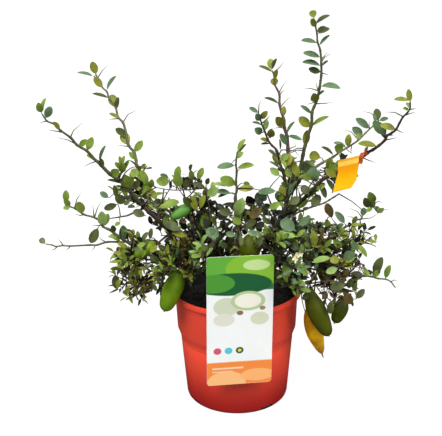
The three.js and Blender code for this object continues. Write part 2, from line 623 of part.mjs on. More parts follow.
// Grows one spray: its twigs and leaves, each kept only where it has room
function growSpray(spray) {
  const random = seededRandom(spray.seed);
  const grown = { twigs: [], leaves: [] };
  const samples = Array.from({ length: 9 }, (_, i) => spray.curve.getPoint(i / 8));
  const inReach = (point) => samples.some((sample) => sample.distanceTo(point) < spray.reach);
  const chord = spray.curve.getPoint(1).sub(spray.curve.getPoint(0)).normalize();
  const reference = referenceFor(chord);

  // Leaves and twigs of the same spray may meet near their roots, but their outer parts stay apart
  const ownParts = [];
  const crossesOwn = (start, end, radius) => ownParts.some((other) => (
    segmentGap(start, end, other.start, other.end) < radius + other.radius
  ));

  const keepsLeaf = (leaf) => {
    const pointAt = (share) => leaf.start.clone().addScaledVector(leaf.direction, leaf.length * share);
    const [root, tip, middle] = [leafRoom.from, 1, leafRoom.outerFrom].map(pointAt);
    const [broadStart, broadEnd] = [leafRoom.broadFrom, leafRoom.broadTo].map(pointAt);
    const broad = leaf.length * leaf.breadth * leafRoom.broad;
    const narrow = leaf.length * leaf.breadth * leafRoom.narrow;
    if (!inReach(tip) || isBlocked(spray.name, root, tip, narrow)
      || isBlocked(spray.name, broadStart, broadEnd, broad) || crossesOwn(middle, tip, narrow)) {
      return false;
    }
    grown.leaves.push(leaf);
    addObstacle(spray.name, root, tip, narrow);
    addObstacle(spray.name, broadStart, broadEnd, broad);
    ownParts.push({ start: middle, end: tip, radius: narrow });
    return true;
  };

  const keepsTwig = (start, end) => {
    const direction = end.clone().sub(start).normalize();
    const clearStart = start.clone().addScaledVector(direction, spray.girth + twigHabit.clearOfStem);
    const outerStart = start.clone().lerp(end, twigOuterFrom);
    const radius = twigHabit.girth;
    const blocked = isBlocked(spray.name, clearStart, end, radius);
    if (!inReach(end) || blocked || crossesOwn(outerStart, end, radius)) {
      return false;
    }
    grown.twigs.push({ start, end });
    addObstacle(spray.name, clearStart, end, radius);
    ownParts.push({ start: outerStart, end, radius });
    return true;
  };

  // Leaves stand on alternate sides of a twig, the last one at its tip
  const growTwigLeaves = (start, end) => {
    const direction = end.clone().sub(start).normalize();
    const [across, over] = crossAxes(direction, reference);
    for (let k = 0; k < spray.twigLeaves; k += 1) {
      const share = (k + 1) / (spray.twigLeaves + twigHabit.pastEnd);
      const place = start.clone().lerp(end, share);
      const root = twigHabit.girth * (1 - share) * leafHabit.rootShare;
      const angle = k === spray.twigLeaves - 1 ? twigHabit.endAngle : twigHabit.sideAngle;
      for (let attempt = 0; attempt < nodeHabit.tries; attempt += 1) {
        const turn = k * Math.PI + random() + attempt * nodeHabit.turnOn;
        const side = across.clone().multiplyScalar(Math.cos(turn)).addScaledVector(over, Math.sin(turn));
        if (keepsLeaf(leafAt(place, direction, side, root, spray.leaf, angle, random))) {
          break;
        }
      }
    }
  };

  for (let i = 0; i < spray.nodes; i += 1) {
    const along = THREE.MathUtils.lerp(spray.firstNode, lastNode, (i + 0.5) / spray.nodes);
    const { point: start, tangent } = onChords(spray.curve, spray.stemSteps, along);
    const [across, over] = crossAxes(tangent, reference);
    const root = THREE.MathUtils.lerp(spray.radii[0], spray.radii[1], along) * leafHabit.rootShare;
    for (let attempt = 0; attempt < nodeHabit.tries; attempt += 1) {
      const turn = i * goldenAngle + (random() - 0.5) * nodeHabit.turnSpread + attempt * nodeHabit.turnOn;
      const side = across.clone().multiplyScalar(Math.cos(turn)).addScaledVector(over, Math.sin(turn));
      const angle = spray.spread * (nodeHabit.angleLeast + nodeHabit.angleSpread * random());
      if (spray.twig === 0) {
        if (keepsLeaf(leafAt(start, tangent, side, root, spray.leaf, angle, random))) {
          break;
        }
        continue;
      }
      const fullLength = spray.twig * (twigHabit.lengthAtFoot - twigHabit.shrink * along);
      const length = fullLength * (twigHabit.lengthLeast + twigHabit.lengthSpread * random());
      const direction = tangent.clone().multiplyScalar(Math.cos(angle));
      direction.addScaledVector(side, Math.sin(angle)).addScaledVector(up, twigHabit.lift).normalize();
      const end = start.clone().addScaledVector(direction, length);
      if (keepsTwig(start, end)) {
        growTwigLeaves(start, end);
        break;
      }
    }
  }
  if (spray.nodes > 0) {
    const { point: start, tangent } = onChords(spray.curve, spray.stemSteps, endLeaf.place);
    const [across] = crossAxes(tangent, reference);
    keepsLeaf(leafAt(start, tangent, across, 0, spray.leaf * endLeaf.size, endLeaf.angle, random));
  }
  return grown;
}

// A three-sided twig that runs out to a point
function twigSolid(start, end, radius) {
  const cone = new THREE.ConeGeometry(radius, start.distanceTo(end), 3, 1);
  const direction = end.clone().sub(start).normalize();
  cone.applyQuaternion(new THREE.Quaternion().setFromUnitVectors(coneAxis, direction));
  const middle = start.clone().add(end).multiplyScalar(0.5);
  return solidFrom(cone.translate(middle.x, middle.y, middle.z));
}

// Fruit: a long round berry with a short nub, on a stalk from the nearest part of the stem
function fruitRadius(girth) {
  return (along) => {
    const swell = Math.sin(Math.PI * (fruitShape.shoulder + fruitShape.reach * along)) ** fruitShape.fullness;
    return girth * (fruitShape.nub + (1 - fruitShape.nub) * swell);
  };
}

function nearestOnStem(spray, point) {
  const places = Array.from({ length: stalkPlaces.count }, (_, i) => {
    const share = THREE.MathUtils.lerp(stalkPlaces.from, stalkPlaces.to, i / (stalkPlaces.count - 1));
    return onChords(spray.curve, spray.stemSteps, share).point;
  });
  return places.reduce((best, place) => (place.distanceTo(point) < best.distanceTo(point) ? place : best));
}

function fruitSolids(fruit, spray) {
  const radiusAt = fruitRadius(fruit.girth);
  const body = solidFrom(limbGeometry(fruit.curve, radiusAt, fruitShape.sides, fruitShape.steps));
  const top = fruit.curve.getPoint(fruitShape.stalkDepth);
  return [body, twigSolid(top, nearestOnStem(spray, top), fruitShape.stalkRadius)];
}

// Blossom: five petals round a small bud, on a twig of its own
function blossomSolids(blossom, spray) {
  const centre = vector(blossom.place);
  const nearest = nearestOnStem(spray, centre);
  const outward = centre.clone().sub(nearest).normalize();
  const [across, over] = crossAxes(outward, up);
  const solids = [twigSolid(centre.clone().addScaledVector(outward, 1), nearest, petal.stalkRadius)];
  for (let i = 0; i < petal.count; i += 1) {
    const turn = (i * 2 * Math.PI) / petal.count;
    const direction = across.clone().multiplyScalar(Math.cos(turn)).addScaledVector(over, Math.sin(turn));
    direction.addScaledVector(outward, petal.rise).normalize();
    const face = outward.clone().addScaledVector(direction, -outward.dot(direction)).normalize();
    solids.push(leafSolid({ start: centre, direction, face, length: petal.length, breadth: petal.breadth }));
  }
  return solids;
}

// A spray's solid: stem, twigs, leaves, fruit and blossom in one, cut clear of the limb that carries it
function spraySolid(spray) {
  const grown = growSpray(spray);
  const stem = solidFrom(limbGeometry(spray.curve, taper(spray.radii), spray.stemSides, spray.stemSteps));
  const pieces = [stem];
  for (const twig of grown.twigs) {
    pieces.push(twigSolid(twig.start, twig.end, twigHabit.girth));
  }
  pieces.push(...grown.leaves.map(leafSolid));
  for (const fruit of fruits.filter((item) => item.owner === spray.name)) {
    pieces.push(...fruitSolids(fruit, spray));
  }
  for (const blossom of blossoms.filter((item) => item.owner === spray.name)) {
    pieces.push(...blossomSolids(blossom, spray));
  }
  const parentHull = limbs.get(spray.parent).hull;
  return largestBody(wasm.Manifold.union(pieces).subtract(parentHull));
}

// Flag: a plate in front of its branch, and a strap round the branch that carries it
function flagSolid(spray) {
  const outline = new THREE.Shape(flag.outline.map(([x, y]) => new THREE.Vector2(x, y)));
  const plate = new THREE.ExtrudeGeometry(outline, { depth: flag.thickness, bevelEnabled: false });
  plate.rotateX(Math.PI / 2);
  plate.rotateZ(Math.atan2(flagBearing.y, flagBearing.x));
  plate.translate(flagFoot.x, flagFoot.y, flagFoot.z);
  const wanted = flagFoot.clone().addScaledVector(flagBearing, flag.strapPlace);
  const places = Array.from({ length: 101 }, (_, i) => i / 100);
  wanted.setZ(0);
  const flat = (t) => onChords(spray.curve, spray.stemSteps, t).point.setZ(0).distanceTo(wanted);
  const at = places.reduce((best, t) => (flat(t) < flat(best) ? t : best));
  const { point: middle, tangent } = onChords(spray.curve, spray.stemSteps, at);
  const half = tangent.multiplyScalar(flag.strapLength / 2);
  const radius = THREE.MathUtils.lerp(spray.radii[0], spray.radii[1], at) + clearance + flag.strapThickness;
  const strapCurve = curveThrough([middle.clone().sub(half), middle.clone().add(half)]);
  const strap = solidFrom(limbGeometry(strapCurve, () => radius, 8, 1));
  const branch = clearanceHull(spray.curve, spray.radii, spray.stemSides, spray.stemSteps);
  return largestBody(solidFrom(plate).add(strap).subtract(branch));
}

// The group of named meshes
const tree = new THREE.Group();

function addPiece(name, solid, look) {
  const material = new THREE.MeshStandardMaterial({ ...look, metalness: 0 });
  const mesh = new THREE.Mesh(geometryFrom(solid), material);
  mesh.name = name;
  tree.add(mesh);
}

addPiece('pot', potSolid(), materials.pot);
addPiece('soil', soilSolid(), materials.soil);
addPiece('card', cardSolid(), materials.card);
addPiece('trunk', trunkSolid(0), materials.bark);

let limbsSoFar = limbs.get('trunk').hull;
for (const bough of boughs) {
  const { curve } = limbs.get(bough.name);
  const solid = solidFrom(limbGeometry(curve, taper(bough.radii), boughSides, boughSteps));
  addPiece(bough.name, largestBody(solid.subtract(limbsSoFar)), materials.bark);
  limbsSoFar = limbsSoFar.add(limbs.get(bough.name).hull);
}

for (const spray of sprays) {
  addPiece(spray.name, spraySolid(spray), spray.kind === 'shoot' ? materials.shoots : materials.leaves);
}

addPiece('branch_flag', flagSolid(sprays.find((spray) => spray.name === 'shoot_tagged')), materials.flag);

export default tree;
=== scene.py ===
from math import acos, atan2, cos, degrees, exp, hypot, pi, radians, sin, sqrt
import bmesh
import bpy
import numpy as np
from numpy.linalg import norm
from mathutils import Euler, Matrix, Vector, noise


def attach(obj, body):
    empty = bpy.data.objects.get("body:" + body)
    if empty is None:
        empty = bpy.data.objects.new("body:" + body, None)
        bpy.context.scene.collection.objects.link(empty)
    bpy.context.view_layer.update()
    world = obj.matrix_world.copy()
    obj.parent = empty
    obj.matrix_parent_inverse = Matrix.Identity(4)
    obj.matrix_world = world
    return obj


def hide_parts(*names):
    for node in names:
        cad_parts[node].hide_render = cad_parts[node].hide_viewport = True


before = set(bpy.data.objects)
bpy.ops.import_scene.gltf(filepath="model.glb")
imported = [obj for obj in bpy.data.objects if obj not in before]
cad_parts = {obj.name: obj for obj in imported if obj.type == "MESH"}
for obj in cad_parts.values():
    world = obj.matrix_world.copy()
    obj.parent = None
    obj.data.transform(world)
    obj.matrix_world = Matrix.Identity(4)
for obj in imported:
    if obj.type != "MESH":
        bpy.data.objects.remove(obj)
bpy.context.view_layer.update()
print("frame loaded")

mm = 0.001

# Camera: the photo's viewpoint, in mm and degrees
camera = dict(place=(-18.8, -850.0, 492.0), pitch=16.3, roll=-0.85, lens=56.36, sensor=36.0, near=10)


def makeCamera():
    bpy.ops.object.camera_add(location=[value * mm for value in camera["place"]])
    cam = bpy.context.object
    cam.name = "photoCamera"
    turn = Matrix.Rotation(radians(90 - camera["pitch"]), 3, "X")
    turn = turn @ Matrix.Rotation(radians(camera["roll"]), 3, "Z")
    cam.rotation_euler = turn.to_euler()
    cam.data.lens = camera["lens"]
    cam.data.sensor_width = camera["sensor"]
    cam.data.clip_start = camera["near"] * mm
    bpy.context.scene.camera = cam


makeCamera()


class Graph:
    # shader nodes, each made, set and linked in one go
    def __init__(self, tree):
        self.nodes, self.link = tree.nodes, tree.links.new

    def give(self, node, inputs):
        # an input that is given a socket is linked, and any other is set
        for name, value in inputs.items():
            if isinstance(value, bpy.types.NodeSocket):
                self.link(value, node.inputs[name])
            else:
                node.inputs[name].default_value = value

    def add(self, kind, output, inputs=None, **settings):
        node = self.nodes.new("ShaderNode" + kind)
        for name, value in settings.items():
            setattr(node, name, value)
        self.give(node, inputs or {})
        return node.outputs[output]

    def math(self, operation, *values, **settings):
        return self.add("Math", "Value", dict(enumerate(values)), operation=operation, **settings)

    def spread(self, value, low, high, start=0, end=1, **settings):
        # low where the value is at start or before it, high where it is at end or past it
        return self.add("MapRange", "Result", {"Value": value, "From Min": start, "From Max": end,
                                               "To Min": low, "To Max": high}, **settings)


# Studio: two soft lights, high on the left and on the right, in a white room with a paler floor
studio = dict(
    backdrop=1.0, room=0.3, roomMirrored=0.42,
    lights=[
        {"turn": -42, "height": 50, "strength": 3.75, "softness": 34},
        {"turn": 52, "height": 42, "strength": 2.85, "softness": 40},
    ],
    floorSize=40.0, floorUnder=0.5, floorGlow=0.9, floorSeen=0.12, floorBounce=0.3, floorMirrored=0.05,
)


def raySwitch(graph, seen, mirrored, unseen):
    # one value for what the camera sees, one for what shines and one for the light that goes round
    value = unseen
    for ray, chosen in (("Is Glossy Ray", mirrored), ("Is Camera Ray", seen)):
        value = graph.spread(graph.add("LightPath", ray), value, chosen)
    return value


def newMaterial(name):
    material = bpy.data.materials.new(name)
    material.use_nodes = True
    graph = Graph(material.node_tree)
    return material, graph, graph.nodes["Principled BSDF"]


def makeStudio():
    world = bpy.data.worlds.new("studioRoom")
    bpy.context.scene.world = world
    world.use_nodes = True
    graph = Graph(world.node_tree)
    graph.give(graph.nodes["Background"], {
        "Color": (1, 1, 1, 1),
        "Strength": raySwitch(graph, studio["backdrop"], studio["roomMirrored"], studio["room"])})
    for number, light in enumerate(studio["lights"]):
        bpy.ops.object.light_add(type="SUN")
        lamp = bpy.context.object
        lamp.name = "softLight" + str(number + 1)
        lamp.data.energy = light["strength"]
        lamp.data.angle = radians(light["softness"])
        lamp.rotation_euler = (radians(90 - light["height"]), 0, radians(light["turn"]))
    bpy.ops.mesh.primitive_plane_add(size=studio["floorSize"], location=(0, 0, -studio["floorUnder"] * mm))
    floor = bpy.context.object
    floor.name = "studioFloor"
    paper, graph, shader = newMaterial("studioPaper")
    grey = raySwitch(graph, studio["floorSeen"], studio["floorMirrored"], studio["floorBounce"])
    graph.give(shader, {
        "Base Color": graph.add("CombineColor", "Color", {"Red": grey, "Green": grey, "Blue": grey}),
        "Emission Color": (1, 1, 1, 1), "Emission Strength": raySwitch(graph, studio["floorGlow"], 0, 0),
        "Roughness": 1, "Specular IOR Level": 0})
    floor.data.materials.append(paper)


makeStudio()
bpy.context.scene.view_settings.view_transform = "Standard"
print("camera and studio ready")


# Materials

def paint(red, green, blue):
    # screen colour, 0 to 255, to the renderer's own
    return tuple(((value / 255 + 0.055) / 1.055) ** 2.4 if value > 10 else value / 255 / 12.92
                 for value in (red, green, blue)) + (1.0,)


def newGroup(name, inputs, outputs):
    group = bpy.data.node_groups.new(name, "ShaderNodeTree")
    for way, sockets in (("INPUT", inputs), ("OUTPUT", outputs)):
        for socket, kind in sockets.items():
            group.interface.new_socket(name=socket, in_out=way, socket_type="NodeSocket" + kind)
    graph = Graph(group)
    return group, graph, graph.nodes.new("NodeGroupInput").outputs, graph.nodes.new("NodeGroupOutput")


relief = dict(detail=5, roughness=0.6, poreDetail=6, grainDepth=0.6)


def buildMottle():
    # two colours mixed by soft noise on the piece's own coordinates
    group, graph, given, end = newGroup(
        "mottle", {"Colour A": "Color", "Colour B": "Color", "Scale": "Float", "Stretch": "Vector",
                   "Contrast": "Float"}, {"Colour": "Color", "Mask": "Float"})
    place = graph.add("Mapping", "Vector", {"Vector": graph.add("TexCoord", "Object"),
                                            "Scale": given["Stretch"]})
    cloud = graph.add("TexNoise", "Fac", {"Vector": place, "Scale": given["Scale"],
                                          "Detail": relief["detail"], "Roughness": relief["roughness"]})
    centred = graph.math("SUBTRACT", cloud, 0.5)
    mask = graph.math("MULTIPLY_ADD", centred, given["Contrast"], 0.5, use_clamp=True)
    colour = graph.add("Mix", "Result", {"Factor": mask, "A": given["Colour A"], "B": given["Colour B"]},
                       data_type="RGBA")
    graph.give(end, {"Colour": colour, "Mask": mask})
    return group


def buildPores():
    # the height of small pits or grains
    group, graph, given, end = newGroup("pores", {"Scale": "Float", "Stretch": "Vector"},
                                        {"Height": "Float"})
    spots = {"Vector": graph.add("Mapping", "Vector", {"Vector": graph.add("TexCoord", "Object"),
                                                       "Scale": given["Stretch"]}), "Scale": given["Scale"]}
    cells = graph.add("TexVoronoi", "Distance", spots)
    fine = graph.add("TexNoise", "Fac", {**spots, "Detail": relief["poreDetail"]})
    graph.give(end, {"Height": graph.math("ADD", cells, fine)})
    return group


mottle = buildMottle()
pores = buildPores()


def finish(name, colours, roughness, scale=60, stretch=(1, 1, 1), contrast=2.5,
           grain=0, grainScale=900, grainStretch=(1, 1, 1), **sockets):
    # a material whose colour is mottled between two tones, with an optional grain in its surface
    material, graph, shader = newMaterial(name)
    tone = graph.add("Group", "Colour", {
        "Colour A": paint(*colours[0]), "Colour B": paint(*colours[1]), "Scale": scale, "Stretch": stretch,
        "Contrast": contrast}, node_tree=mottle)
    wear = graph.spread(tone.node.outputs["Mask"], *roughness)
    graph.give(shader, {"Base Color": tone, "Roughness": wear})
    if grain:
        pits = graph.add("Group", "Height", {"Scale": grainScale, "Stretch": grainStretch}, node_tree=pores)
        graph.give(shader, {"Normal": graph.add("Bump", "Normal", {
            "Strength": grain, "Distance": relief["grainDepth"] * mm, "Height": pits})})
    graph.give(shader, {socket.replace("_", " "): value for socket, value in sockets.items()})
    return material


def multiplyColour(graph, factor, tint):
    # the material's colour so far, multiplied by a tint
    shader = graph.nodes["Principled BSDF"]
    before = shader.inputs["Base Color"].links[0].from_socket
    graph.give(shader, {"Base Color": graph.add("Mix", "Result", {"Factor": factor, "A": before, "B": tint},
                                                data_type="RGBA", blend_type="MULTIPLY")})


def paintedShadeTowardsGround(material, tint, height):
    # the same material with painted shade: tinted darker the nearer it is to the ground
    graph = Graph(material.node_tree)
    rise = graph.add("SeparateXYZ", "Z", {"Vector": graph.add("TexCoord", "Object")})
    low = graph.spread(rise, 0, 1, height, 0, interpolation_type="SMOOTHSTEP")
    multiplyColour(graph, low, paint(*tint))
    return material


# a letter for each tone, its name and its two colours
leafTones = {
    "m": ("Mid", (118, 140, 54), (90, 112, 36)),
    "b": ("Bluish", (92, 116, 80), (64, 88, 56)),
    "o": ("Olive", (128, 132, 44), (94, 98, 22)),
    # the dark tone is painted shade: leaves inside the masses mostly take it
    "k": ("Dark", (38, 42, 18), (15, 18, 8)),
    "d": ("Dusky", (78, 88, 46), (50, 58, 28)),
    # the pale tone is a paler leaf colour that also stands in for painted highlights on lit leaves
    "p": ("Pale", (138, 164, 92), (110, 138, 66)),
    "n": ("Brown", (94, 78, 36), (58, 44, 20)),
}
leafMaterials = {
    tone: finish("leaf" + name, colours, (0.42, 0.58), scale=70, contrast=3.5, Specular_IOR_Level=0.22)
    for tone, (name, *colours) in leafTones.items()
}
fruitSkin = dict(grain=0.35, grainScale=700, Specular_IOR_Level=0.14)
materials = {
    "bark": finish("oldBark", ((88, 70, 52), (46, 35, 25)), (0.7, 0.95), scale=120, stretch=(1, 1, 0.3),
                   contrast=4, grain=0.7, grainScale=420, grainStretch=(1, 1, 0.35)),
    "greenStem": finish("greenStem", ((94, 98, 58), (58, 58, 34)), (0.45, 0.65), scale=90, grain=0.2),
    "brownStem": finish("brownStem", ((80, 60, 42), (44, 33, 24)), (0.5, 0.75), scale=90, grain=0.3),
    "spine": finish("spineTips", ((112, 112, 66), (84, 72, 46)), (0.4, 0.6), scale=120),
    # the pot's red, with painted shade darkening it towards its foot
    "potRed": paintedShadeTowardsGround(finish("potRed", ((228, 70, 44), (212, 57, 36)), (0.34, 0.46), scale=18, contrast=1.6,
                              grain=0.05, grainScale=1500), (170, 44, 30), 0.07),
    # black for the pot's inside, and painted shade in its notches and round its foot
    "potBlackAndShade": finish("potBlackAndShade", ((22, 18, 17), (12, 10, 10)), (0.5, 0.65), scale=30),
    "soil": finish("pottingSoil", ((22, 16, 13), (8, 6, 5)), (0.85, 1), scale=160, contrast=4,
                   grain=1, grainScale=300),
    "crumbs": finish("soilCrumbs", ((54, 38, 28), (20, 14, 11)), (0.8, 1), scale=200, contrast=5),
    "fruitGreen": finish("fruitGreen", ((106, 138, 18), (72, 104, 4)), (0.4, 0.52), scale=28, **fruitSkin),
    "fruitYoung": finish("fruitYoung", ((104, 152, 70), (70, 118, 44)), (0.4, 0.52), scale=28, **fruitSkin),
    "fruitDark": finish("fruitDark", ((72, 80, 5), (46, 52, 2)), (0.38, 0.5), scale=26, **fruitSkin),
    "fruitRipe": finish("fruitRipe", ((214, 176, 6), (132, 74, 2)), (0.4, 0.52), scale=30, contrast=3,
                        **fruitSkin),
    "calyx": finish("fruitCalyx", ((104, 84, 52), (70, 54, 34)), (0.6, 0.8), scale=200),
    "strap": finish("flagStrap", ((196, 92, 40), (168, 70, 30)), (0.4, 0.55), scale=60),
    "petals": finish("petals", ((250, 244, 214), (238, 226, 176)), (0.5, 0.65), scale=120),
    "stamens": finish("stamens", ((232, 196, 70), (206, 160, 40)), (0.5, 0.7), scale=120),
    "cardBack": finish("cardBack", ((236, 238, 232), (226, 228, 222)), (0.3, 0.4), scale=12),
}
print("materials ready")


# The plant's rule of growth, in mm, as its solids follow it

potSize = dict(height=150, rimRadius=85)
soilLevel = 132
cardSize = dict(width=80.5, height=167, bottom=55, thickness=0.9, corner=4, yaw=8,
                tilt=-0.9, shift=-11.3, front=-85.3, tongueWidth=18, tongueGap=8.3, tongueTop=153.5)
clearance = 0.3
trunk = dict(foot=(0, 4), bend=(1, -1, 14), top=(-3, 2, 172), footRadius=8.2, topRadius=6.4,
             flare=5.5, flareHeight=7, rootLobes=5, lobeDepth=0.16, steps=5, clear=2)
boughSteps = 4
boughs = [
    ("left", 0.94, [(-46, -2, 206), (-86, -6, 232), (-120, -18, 270)], (4.8, 2.4)),
    ("left_low", 0.58, [(-48, -14, 178), (-94, -26, 197)], (3.6, 2.1)),
    ("right", 0.96, [(28, 0, 200), (58, 2, 236), (70, 14, 285)], (4.6, 2.4)),
    ("right_low", 0.52, [(48, 4, 174), (104, 8, 188)], (3.6, 2.1)),
    ("front", 0.72, [(2, -24, 184), (6, -50, 210)], (3.2, 2)),
    ("centre", 0.99, [(2, 8, 205), (6, -4, 238)], (3.4, 2)),
    ("back_left", 0.84, [(-30, 34, 200), (-60, 62, 228)], (3.4, 2)),
    ("back", 0.6, [(0, 42, 180), (4, 84, 196)], (3.2, 2)),
    ("back_right", 0.8, [(30, 34, 196), (66, 58, 222)], (3.4, 2)),
]
# name, parent, place on it, path, girth, nodes, leaf, seed, tones of its leaves
shoots = [
    ("shoot_left_tall", "left", 0.88, [(-112, 4, 275), (-124, 20, 310), (-145, 38, 363), (-174, 50, 424)],
     1.7, 15, 21, 11, "mmo"),
    ("shoot_left_far", "left", 1, [(-140, -31, 300), (-178, -58, 347), (-217, -88, 393)],
     2, 13, 21, 12, "mmb"),
    ("shoot_left_short", "left_low", 1, [(-124, -34, 216), (-160, -50, 250), (-199, -70, 288)],
     1.6, 11, 20, 13, "mkb"),
    ("shoot_left_bare", "left_low", 0.86,
     [(-106, -26, 212), (-143, -30, 224), (-206, -38, 221), (-236, -40, 229)], 1.2, 5, 15, 14, "km"),
    ("shoot_centre", "front", 1, [(2, -52, 244), (0, -54, 290), (5, -68, 340)], 1.6, 12, 21, 15, "mbm"),
    ("shoot_dark_upright", "right", 1, [(71, 24, 318), (61, 38, 375), (48, 50, 430)],
     1.9, 14, 20, 16, "okm"),
    ("shoot_dark_side", "right", 0.9, [(60, 6, 302), (38, -4, 352), (20, -15, 382)], 1.3, 13, 20, 17, "oom"),
    ("shoot_tallest", "right", 0.84, [(78, -2, 300), (89, -15, 357), (99, -30, 420), (90, -40, 476)],
     1.7, 18, 23, 18, "bbm"),
    ("shoot_tagged", "right", 0.68, [(90, -20, 278), (121, -45, 309), (167, -85, 358), (182, -110, 404)],
     1.9, 15, 22, 19, "bmo"),
    ("shoot_right_back", "right", 0.95, [(96, 34, 296), (134, 55, 311), (172, 72, 334), (199, 85, 360)],
     1.5, 14, 23, 20, "bbk"),
    ("twig_cut", "right", 0.6, [(82, -18, 258), (103, -28, 266), (125, -35, 282)], 1.4, 0, 0, 21, "m"),
    ("shoot_right_short", "right_low", 0.92, [(134, 44, 206), (163, 62, 214), (193, 85, 243)],
     1.4, 12, 19, 22, "om"),
    ("shoot_right_low", "right_low", 0.8, [(118, -4, 176), (164, -5, 167), (206, -18, 151)],
     1.4, 12, 21, 23, "kkm"),
    ("shoot_back", "back", 0.9, [(24, 118, 212), (40, 160, 226)], 1.4, 8, 20, 24, "mk"),
    ("shoot_back_left", "back_left", 0.88, [(-96, 98, 234), (-136, 138, 248)], 1.5, 10, 21, 25, "mo"),
    ("shoot_back_right", "back_right", 0.88, [(96, 98, 230), (126, 144, 246)], 1.5, 10, 21, 26, "mb"),
]
# name after foliage_, the bough it leaves, where, path, seed, tones, and the look of its finer leaves:
# length, half breadth as a share of it, share of twiglets kept and how many leaves more each has
masses = [
    ("left_low", "left_low", 0.93, [(-112, -26, 180), (-130, -30, 160)], 41, "onkoo", (12.5, 0.145, 1.0, 5)),
    ("left_front", "left_low", 0.6, [(-70, -44, 192), (-80, -62, 208)], 42, "kmon", (13.0, 0.16, 1.0, 4)),
    ("left_middle", "left", 0.62, [(-104, -30, 216), (-132, -40, 212)], 43, "mkoo", (13.5, 0.19, 1.0, 3)),
    ("left_upper", "left", 0.76, [(-102, 8, 258), (-116, 14, 280)], 44, "mob", (14.5, 0.24, 0.75, 1)),
    ("left_outer", "left", 0.94, [(-134, -34, 258), (-158, -40, 256)], 45, "mkb", (15.5, 0.24, 0.8, 0)),
    ("centre_left", "left", 0.34, [(-48, -20, 232), (-54, -26, 262)], 46, "mbk", (15.5, 0.25, 0.75, 1)),
    ("front_left", "front", 0.5, [(-26, -48, 196), (-46, -64, 206)], 47, "mkp", (15.0, 0.23, 0.95, 1)),
    ("centre", "centre", 1, [(10, -12, 254), (8, -16, 274)], 48, "mkb", (16.0, 0.26, 0.8, 1)),
    ("front_right", "front", 0.74, [(34, -58, 214), (56, -70, 226)], 50, "mbk", (13.5, 0.2, 1.0, 2)),
    ("right_front_low", "right_low", 0.5, [(60, -40, 178), (66, -72, 192)], 51, "mkp", (13.0, 0.2, 1.0, 2)),
    ("right_upper", "right", 0.77, [(94, 22, 274), (112, 28, 300)], 52, "okm", (15.5, 0.25, 0.8, 1)),
    ("right_inner", "right", 0.64, [(44, -12, 264), (38, -20, 282)], 53, "kmb", (15.5, 0.25, 0.75, 1)),
    ("right_middle", "right", 0.46, [(92, -20, 218), (120, -30, 224)], 54, "mkob", (13.0, 0.19, 1.0, 2)),
    ("right_low", "right_low", 0.7, [(104, -28, 180), (126, -40, 178)], 55, "knmo", (13.0, 0.2, 1.0, 2)),
    ("right_outer", "right_low", 0.86, [(128, -24, 184), (158, -36, 170)], 49, "knm", (13.0, 0.2, 1.0, 2)),
    ("right_tip", "right_low", 1, [(136, 20, 200), (164, 30, 208)], 56, "mok", (13.0, 0.2, 0.8, 1)),
    ("back_left", "back_left", 1, [(-68, 66, 256), (-74, 68, 282)], 57, "mok", (15.0, 0.23, 0.95, 1)),
    ("back_left_low", "back_left", 0.55, [(-76, 66, 200), (-104, 78, 196)], 58, "mk", (15.0, 0.23, 0.95, 1)),
    ("back", "back", 1, [(4, 98, 222), (4, 104, 246)], 59, "mbk", (15.0, 0.23, 0.95, 1)),
    ("back_low", "back", 0.72, [(-20, 100, 182), (-34, 122, 184)], 60, "mok", (15.0, 0.23, 0.95, 1)),
    ("back_right", "back_right", 1, [(76, 64, 246), (84, 68, 270)], 61, "mok", (15.0, 0.23, 0.95, 1)),
    ("back_right_low", "back_right", 0.6, [(86, 66, 194), (114, 80, 192)], 62, "mkb", (15.0, 0.23, 0.95, 1)),
]
massHabit = dict(girth=1.6, nodes=5, firstNode=0.2, twig=34, twigLeaves=3, leaf=28,
                 reach=46, spread=1.05, steps=2)
shootHabit = dict(firstNode=0.14, twig=0, twigLeaves=0, reach=34, spread=0.8, steps=4)
tipTaper = dict(living=0.35, cut=0.7)
lastNode = 0.97
nodeHabit = dict(turnSpread=0.7, angle=(0.85, 0.3), tries=4, turnOn=1.9)
twigHabit = dict(girth=1, lengthAtFoot=1.15, shrink=0.45, length=(0.75, 0.5), lift=0.25,
                 sideAngle=0.9, endAngle=0.25, pastEnd=0.4, clearOfStem=1, outerFrom=0.4)
leafHabit = dict(lift=(0.12, 0.3), faceAlong=0.2, faceUp=0.5, size=(0.78, 0.4),
                 breadth=(0.27, 0.06), rootShare=0.3)
endLeaf = dict(place=0.98, size=0.9, angle=0.1)
leafRoom = {"from": 0.12, "broadFrom": 0.34, "broadTo": 0.76, "outerFrom": 0.4, "tip": 1, "broad": 0.85,
            "narrow": 0.425}
potMargin = 3
reachSamples = 8
mostCapsules = 4000
cardRoom = dict(centre=2, half=42, front=-79, above=3)
flagRoom = dict(before=9, after=34, aside=5, middle=24, half=28)
flagFoot = np.array((120.0, -47.0, 287.0))
flagBearing = np.array((46.0, -40.0, 0.0)) / hypot(46, 40)
goldenAngle = radians(137.5)
up = np.array((0.0, 0.0, 1.0))
